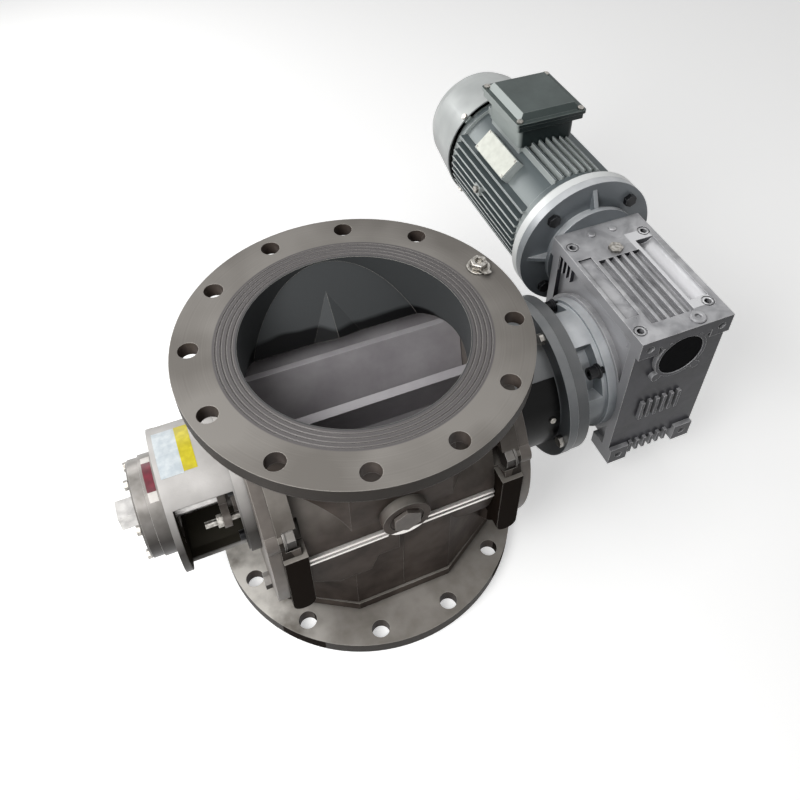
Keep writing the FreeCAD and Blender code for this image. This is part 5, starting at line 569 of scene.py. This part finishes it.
seat = Vector((EARTH_CIRCLE * math.cos(EARTH_ANGLE), EARTH_CIRCLE * math.sin(EARTH_ANGLE), FLANGE_TOP))
bm = bmesh.new()
washer = [(0.0056, 0.0), (0.0135, 0.0), (0.0140, 0.0005), (0.0140, 0.0016), (0.0135, 0.0021), (0.0056, 0.0021)]
turned(bm, washer, 40, Matrix.Translation(seat))
head = [(0.0, 0.0021), (0.0105, 0.0021), (0.0108, 0.0026), (0.0108, 0.0088), (0.0098, 0.0100),
        (0.0055, 0.0100), (0.0053, 0.0050), (0.0, 0.0050)]
turned(bm, head, 6, Matrix.Translation(seat) @ Matrix.Rotation(0.35, 4, "Z"))
shank = [(0.0, -0.034), (0.0045, -0.034), (0.0055, -0.033), (0.0055, 0.0015), (0.0, 0.0015)]
turned(bm, shank, 24, Matrix.Translation(seat))
under = Matrix.Translation((seat.x, seat.y, FLANGE_UNDER)) @ Matrix.Rotation(math.pi, 4, "X")
turned(bm, washer, 40, under)
nut = [(0.0, 0.0021), (0.0100, 0.0021), (0.0104, 0.0026), (0.0104, 0.0098), (0.0094, 0.0108), (0.0, 0.0108)]
turned(bm, nut, 6, under)
bolt = piece("earthing_bolt", bm, zinc, "housing")
soft = bolt.modifiers.new("soft_edges", "BEVEL")
soft.width = 0.0004
soft.segments = 2
soft.limit_method = "ANGLE"

# Cable tag: a thin stamped plate under the bolt, with its free end bent up.
TAG_THICK = 0.0010
TAG_BEND_FROM = 0.012
TAG_BEND = 0.35
TAG_LIFT = 0.0022
TAG_TURN = math.radians(-168.0)

tag = [(-0.0050, -0.0070), (0.0050, -0.0070), (0.0062, 0.0), (0.0050, 0.0180),
       (0.0018, 0.0210), (-0.0030, 0.0205), (-0.0056, 0.0150), (-0.0062, 0.0)]
turn = Matrix.Translation(seat + Vector((0.0, 0.0, TAG_LIFT))) @ Matrix.Rotation(TAG_TURN, 4, "Z")
bm = bmesh.new()
low = [bm.verts.new(turn @ Vector((x, y, max(0.0, y - TAG_BEND_FROM) * TAG_BEND))) for x, y in tag]
high = [bm.verts.new(v.co + Vector((0.0, 0.0, TAG_THICK))) for v in low]
bm.faces.new(low)
bm.faces.new(high)
for k in range(len(tag)):
    n = (k + 1) % len(tag)
    bm.faces.new((low[k], low[n], high[n], high[k]))
piece("earthing_tag", bm, zinc, "housing")


# Cap screws and the motor flange's bolts. High-tensile steel with an oiled black oxide skin,
# which the spanner has rubbed bright along the edges.
made, tree, shader = material("black_oxide_steel", Metallic=0.3, Specular_IOR_Level=0.4, Roughness=0.35)
where = add(tree, "TexCoord").outputs["Object"]
marks = add(tree, "TexNoise", {"Vector": where, "Scale": 180.0})
skin = ramp(tree, marks.outputs["Fac"], 0.3, "0c0c0e", 0.7, "1a1a1d")
rounded, worn = edges(tree, 0.0005)[:2]
skin = mix(tree, worn, skin, colour("8d8f92"))
wire(tree, shader, Base_Color=skin, Normal=rounded)
dress(made, "output_flange_bolts", "lantern_screws", "motor_bolts")


# Window guards. Sheet steel bent round the drive lantern and held by small screws. The black
# stove enamel is smooth and so dark that only its highlights show the form.
made, tree, shader = material("gloss_black_enamel", Roughness=0.3, Specular_IOR_Level=0.15)
where = add(tree, "TexCoord").outputs["Object"]
marks = add(tree, "TexNoise", {"Vector": where, "Scale": 60.0})
skin = ramp(tree, marks.outputs["Fac"], 0.3, "060606", 0.7, "0d0d0e")
bump = relief(tree, 0.05, 0.0005, marks.outputs["Fac"])
wire(tree, shader, Base_Color=skin, Normal=bump)
dress(made, "window_guards")


# Output flange, input flange and drive lantern. Cast parts, bolted face to face and sprayed
# with a slightly glossy blue-grey machine paint. Faces that look up are painted palest, as
# painted light, and the others darker, as painted shade.
BELL_FROM = 0.2596
PLATE_MIDDLE_X = 0.2516
PLATE_HALF = 0.0080
MOTOR_SIDE_FROM = 0.095
COAT_DARK = 0.42

made, tree, shader = material("machine_paint_blue_grey", Roughness=0.34)
rounded, worn = edges(tree, 0.0014)[:2]
where = add(tree, "TexCoord").outputs["Object"]
clouds = add(tree, "TexNoise", {"Vector": where, "Scale": 40.0, "Detail": 3.0})
skin = ramp(tree, clouds.outputs["Fac"], 0.3, "d9dde0", 0.7, "f0f2f4")
skin = mix(tree, upward(tree), colour("868c91"), skin)
# The bell is left palest. The lantern beside it, the plate between the two and the input
# flange at the motor are darkened.
spot = add(tree, "SeparateXYZ", {0: where}).outputs
before = maths(tree, "LESS_THAN", spot["X"], BELL_FROM)
bright = overlap(tree, maths(tree, "SUBTRACT", 1.0, before), upward(tree))
motor_side = maths(tree, "GREATER_THAN", spot["Y"], MOTOR_SIDE_FROM)
darker = maths(tree, "MAXIMUM", before, maths(tree, "MULTIPLY", motor_side, COAT_DARK))
coat = spread(tree, darker, low=1.0, high=COAT_DARK)
plate = maths(tree, "COMPARE", spot["X"], PLATE_MIDDLE_X, PLATE_HALF)
plate = maths(tree, "SUBTRACT", coat, spread(tree, plate, low=0.0, high=0.18))
skin = mix(tree, 1.0, skin, plate, "MULTIPLY")
skin = mix(tree, worn, skin, colour("d5d9dc"))
grain = add(tree, "TexNoise", {"Vector": where, "Scale": 500.0})
bump = relief(tree, 0.15, 0.0003, grain.outputs["Fac"], rounded)
wire(tree, shader, Base_Color=skin, Metallic=spread(tree, bright, low=0.15, high=0.3), Normal=bump)
dress(made, "output_flange", "input_flange", "lantern_drive")


# Motor shields. Cast aluminium end shields that carry the motor's bearings, with the frame's
# green-grey paint. The flange's rim is turned bare and painted near white, as bare metal with a
# painted highlight.
MOTOR_X = 0.374
MOTOR_Z = 0.270
BARE_FROM = 0.0985

made, tree, shader = material("machine_paint_green_grey", Metallic=0.2, Roughness=0.36)
rounded, worn = edges(tree, 0.0016)[:2]
where = add(tree, "TexCoord").outputs["Object"]
clouds = add(tree, "TexNoise", {"Vector": where, "Scale": 40.0, "Detail": 3.0})
skin = ramp(tree, clouds.outputs["Fac"], 0.3, "7c8482", 0.7, "8e9694")
spot = add(tree, "SeparateXYZ", {0: where}).outputs
dx = maths(tree, "SUBTRACT", spot["X"], MOTOR_X)
dz = maths(tree, "SUBTRACT", spot["Z"], MOTOR_Z)
from_axis = add(tree, "CombineXYZ", {"X": dx, "Y": dz})
from_axis = add(tree, "VectorMath", {0: from_axis.outputs[0]}, operation="LENGTH").outputs["Value"]
bare_lit_rim = maths(tree, "GREATER_THAN", from_axis, BARE_FROM)
skin = mix(tree, bare_lit_rim, skin, colour("eceeed"))
skin = mix(tree, worn, skin, colour("e3e6e4"))
grain = add(tree, "TexNoise", {"Vector": where, "Scale": 500.0})
bump = relief(tree, 0.12, 0.0003, grain.outputs["Fac"], rounded)
wire(tree, shader, Base_Color=skin, Normal=bump)
dress(made, "motor_end_shield", "motor_rear_shield")


# Gearbox. Die-cast aluminium as it left the die, with edges rubbed bright. Tops are painted
# light and left faces lighter, as painted light, and the other upright faces dark, as painted shade.
GEAR_LIGHT = "c9c9cb"
GEAR_DARK = "98989b"
GEAR_SHADED_LIGHT = "3e3e44"
GEAR_SHADED_DARK = "242429"
GEAR_LIT_LEFT = "a0a0a3"
TROUGH_HIGHLIGHT = "d6d6d8"
TROUGH_X = 0.413
TROUGH_HALF = 0.0165
TROUGH_Y = -0.002
TROUGH_REACH = 0.074
TROUGH_ABOVE = 0.306

made, tree, shader = material("die_cast_aluminium", Specular_IOR_Level=0.3)
rounded, worn, open_air = edges(tree, 0.0013)
where = add(tree, "TexCoord").outputs["Object"]
flow = add(tree, "TexNoise", {"Vector": where, "Scale": 35.0, "Detail": 4.0, "Distortion": 0.6})
tops = ramp(tree, flow.outputs["Fac"], 0.35, GEAR_DARK, 0.65, GEAR_LIGHT)
sides = ramp(tree, flow.outputs["Fac"], 0.35, GEAR_SHADED_DARK, 0.65, GEAR_SHADED_LIGHT)
sides = mix(tree, leftward(tree), sides, colour(GEAR_LIT_LEFT))
skin = mix(tree, upward(tree), sides, tops)
# Hollows are darkened by ambient occlusion, as painted shade.
hollow_shade = spread(tree, open_air, start=0.3, end=0.9, low=0.55, high=1.0)
skin = mix(tree, 1.0, skin, hollow_shade, "MULTIPLY")
# The smooth trough along the deck's right side is painted pale and made more metallic, as a
# painted highlight.
spot = add(tree, "SeparateXYZ", {0: where}).outputs
across = maths(tree, "COMPARE", spot["X"], TROUGH_X, TROUGH_HALF)
above = maths(tree, "GREATER_THAN", spot["Z"], TROUGH_ABOVE)
length = maths(tree, "COMPARE", spot["Y"], TROUGH_Y, TROUGH_REACH)
trough_highlight = overlap(tree, across, above, upward(tree), length)
skin = mix(tree, trough_highlight, skin, colour(TROUGH_HIGHLIGHT))
skin = mix(tree, worn, skin, colour("e9e9ea"))
bump = relief(tree, 0.3, 0.0006, flow.outputs["Fac"], rounded)
rough = spread(tree, flow.outputs["Fac"], low=0.22, high=0.40)
wire(tree, shader, Base_Color=skin, Roughness=rough, Metallic=spread(tree, trough_highlight, low=0.22, high=0.7),
     Normal=bump)
dress(made, "gearbox_housing", "gearbox_side_cover", "motor_rotor")
aluminium = made

# Small cast bosses on the gearbox's deck: a round one at the front edge, with a blind hole,
# and two low ones near the motor. They are cast with the housing and have its skin.
DECK_TOP = 0.315
FRONT_BOSS = (0.3945, -0.0905)
BACK_BOSSES_X = (0.357, 0.389)
BACK_BOSSES_Y = 0.088

bm = bmesh.new()
boss = [(0.0, -0.001), (0.0105, -0.001), (0.0100, 0.0016), (0.0085, 0.0028), (0.0046, 0.0028),
        (0.0040, 0.0020), (0.0038, 0.0004), (0.0, 0.0004)]
turned(bm, boss, 40, Matrix.Translation((*FRONT_BOSS, DECK_TOP)))
small = [(0.0, -0.001), (0.0056, -0.001), (0.0052, 0.0012), (0.0040, 0.0020), (0.0, 0.0021)]
for x in BACK_BOSSES_X:
    turned(bm, small, 32, Matrix.Translation((x, BACK_BOSSES_Y, DECK_TOP)))
piece("deck_bosses", bm, aluminium, "housing")


# Rubber: the cap over the worm's bore, the oil seals, the terminal box's gasket and the
# gland's packing. Moulded and pressed into place, it is matt black with hardly a highlight.
made, tree, shader = material("moulded_nitrile_rubber", Roughness=0.8, Specular_IOR_Level=0.04)
where = add(tree, "TexCoord").outputs["Object"]
marks = add(tree, "TexNoise", {"Vector": where, "Scale": 300.0})
skin = ramp(tree, marks.outputs["Fac"], 0.3, "070708", 0.7, "0e0e10")
wire(tree, shader, Base_Color=skin)
dress(made, "worm_cap", "gearbox_oil_seals", "terminal_gasket", "packing_rings")


# Worm wheel. Centrifugally cast bronze with hobbed teeth, pressed on the hollow shaft.
# It is the one warm yellow metal of the valve, inside the closed gearbox.
made, tree, shader = material("cast_bronze", Metallic=1.0, Roughness=0.3)
where = add(tree, "TexCoord").outputs["Object"]
marks = add(tree, "TexNoise", {"Vector": where, "Scale": 120.0})
skin = ramp(tree, marks.outputs["Fac"], 0.3, "a87a3c", 0.7, "c9984f")
wire(tree, shader, Base_Color=skin)
dress(made, "worm_wheel")


# Bearings. Rings and balls of hardened chromium steel, pressed on the shafts and into the
# bores. Ground and polished, they mirror sharply.
made, tree, shader = material("ground_bearing_steel", Metallic=1.0)
where = add(tree, "TexCoord").outputs["Object"]
marks = add(tree, "TexNoise", {"Vector": where, "Scale": 400.0})
rough = spread(tree, marks.outputs["Fac"], low=0.08, high=0.16)
tint = ramp(tree, marks.outputs["Fac"], 0.3, "cfcfd0", 0.7, "dcdcdc")
wire(tree, shader, Base_Color=tint, Roughness=rough)
dress(made, "bearing_outer_rings", "bearing_inner_rings", "bearing_balls", "wheel_bearing_outer_rings",
      "wheel_bearing_inner_rings", "worm_bearing_outer_rings", "worm_bearing_inner_rings",
      "motor_bearing_outer_rings", "motor_bearing_inner_rings")


# Motor frame. Die-cast aluminium with thin green-grey spray paint. Its upper faces are painted
# darker, its left faces lighter, as painted light, and its edges lighter with wear.
made, tree, shader = material("green_grey_paint_on_aluminium", Metallic=0.2, Roughness=0.40)
rounded, worn, open_air = edges(tree, 0.0010)
where = add(tree, "TexCoord").outputs["Object"]
clouds = add(tree, "TexNoise", {"Vector": where, "Scale": 30.0, "Detail": 3.0})
skin = ramp(tree, clouds.outputs["Fac"], 0.3, "b4bab8", 0.7, "c9cfcd")
skin = mix(tree, leftward(tree), skin, colour("c0c6c4"))
skin = mix(tree, upward(tree), skin, colour("5a6365"))
# Hollows are darkened by ambient occlusion, as painted shade.
hollow_shade = spread(tree, open_air, start=0.2, end=0.9, low=0.65, high=1.0)
skin = mix(tree, 1.0, skin, hollow_shade, "MULTIPLY")
skin = mix(tree, worn, skin, colour("d9dddb"))
grain = add(tree, "TexNoise", {"Vector": where, "Scale": 380.0})
bump = relief(tree, 0.2, 0.0003, grain.outputs["Fac"], rounded)
wire(tree, shader, Base_Color=skin, Normal=bump)
dress(made, "motor_frame")


# Terminal box and lid. Die-cast aluminium, screwed together over a gasket, in a darker and
# glossier coat of the paint.
made, tree, shader = material("dark_green_grey_paint", Metallic=0.05, Specular_IOR_Level=0.3, Roughness=0.32)
rounded, worn = edges(tree, 0.0010)[:2]
where = add(tree, "TexCoord").outputs["Object"]
clouds = add(tree, "TexNoise", {"Vector": where, "Scale": 30.0, "Detail": 3.0})
skin = ramp(tree, clouds.outputs["Fac"], 0.3, "46504e", 0.7, "545f5d")
# Upright and lower faces are painted dark, as painted shade.
skin = mix(tree, upward(tree), colour("232c2c"), skin)
# The left slopes and side face the lamp and are painted pale, as painted light.
skin = mix(tree, leftward(tree), skin, colour("aab2af"))
skin = mix(tree, worn, skin, colour("a9b1ae"))
grain = add(tree, "TexNoise", {"Vector": where, "Scale": 420.0})
bump = relief(tree, 0.12, 0.0002, grain.outputs["Fac"], rounded)
wire(tree, shader, Base_Color=skin, Normal=bump)
dress(made, "terminal_box", "terminal_box_lid")


# Fan cowl. Pressed steel sheet in pale grey enamel, screwed to the motor's rear shield.
# The enamel is smooth, with a thin clear shine over it.
made, tree, shader = material("pale_grey_enamel", Metallic=0.1, Coat_Weight=0.2, Roughness=0.35)
rounded = edges(tree, 0.0010)[0]
where = add(tree, "TexCoord").outputs["Object"]
clouds = add(tree, "TexNoise", {"Vector": where, "Scale": 22.0, "Detail": 2.0})
skin = ramp(tree, clouds.outputs["Fac"], 0.3, "b7bbba", 0.7, "ccd0ce")
axes = add(tree, "SeparateXYZ", {0: add(tree, "NewGeometry").outputs["Normal"]})
# The cowl's underside is painted darker, as painted shade.
shaded_underside = spread(tree, axes.outputs["Z"], start=0.1, end=-0.35)
skin = mix(tree, shaded_underside, skin, colour("6d7070"))
bump = relief(tree, 0.08, 0.0004, clouds.outputs["Fac"], rounded)
wire(tree, shader, Base_Color=skin, Normal=bump)
dress(made, "fan_cowl")


# Nameplate. Blank aluminium sheet on the frame's left shoulder, held by four round rivets.
# Satin anodising gives it a faint cream tone and a soft even shine.
PLATE_ACROSS = 0.0135
PLATE_ALONG = 0.0385
PLATE_MIDDLE = 0.272
PLATE_TOP = 0.094

made, tree, shader = material("satin_anodised_plate", Metallic=0.3, Roughness=0.4)
where = add(tree, "TexCoord").outputs["Object"]
marks = add(tree, "TexNoise", {"Vector": where, "Scale": 80.0})
skin = ramp(tree, marks.outputs["Fac"], 0.3, "b2b4ab", 0.7, "c4c6bd")
wire(tree, shader, Base_Color=skin)
dress(made, "nameplate")

tilt = Matrix.Translation((MOTOR_X, 0.0, MOTOR_Z)) @ Matrix.Rotation(math.radians(-45.0), 4, "Y")
bm = bmesh.new()
for across in (-PLATE_ACROSS, PLATE_ACROSS):
    for along in (-PLATE_ALONG, PLATE_ALONG):
        dome = [(0.0, -0.0003), (0.0016, -0.0003), (0.0015, 0.0004), (0.0009, 0.0009), (0.0, 0.0010)]
        turned(bm, dome, 16, tilt @ Matrix.Translation((across, PLATE_MIDDLE + along, PLATE_TOP)))
piece("nameplate_rivets", bm, zinc, "housing")


# Inside the motor: a core of stacked steel sheets pressed into the frame, windings of
# enamelled copper wire in its slots, and a fan and terminal block moulded in black nylon.
made, tree, shader = material("laminated_core_steel", Metallic=0.8, Roughness=0.5)
where = add(tree, "TexCoord").outputs["Object"]
sheets = add(tree, "TexWave", {"Vector": where, "Scale": 300.0}, bands_direction="Y")
skin = ramp(tree, sheets.outputs["Fac"], 0.3, "3f4042", 0.7, "6a6b6d")
wire(tree, shader, Base_Color=skin)
dress(made, "stator_core")

made, tree, shader = material("enamelled_copper", Metallic=0.9, Roughness=0.35)
where = add(tree, "TexCoord").outputs["Object"]
wires = add(tree, "TexWave", {"Vector": where, "Scale": 160.0, "Distortion": 3.0})
skin = ramp(tree, wires.outputs["Fac"], 0.3, "6b2f14", 0.7, "b5622f")
wire(tree, shader, Base_Color=skin)
dress(made, "stator_windings")

made, tree, shader = material("moulded_black_nylon", Roughness=0.5)
where = add(tree, "TexCoord").outputs["Object"]
marks = add(tree, "TexNoise", {"Vector": where, "Scale": 350.0})
skin = ramp(tree, marks.outputs["Fac"], 0.3, "121213", 0.7, "1d1d1f")
wire(tree, shader, Base_Color=skin)
dress(made, "cooling_fan", "terminal_block")
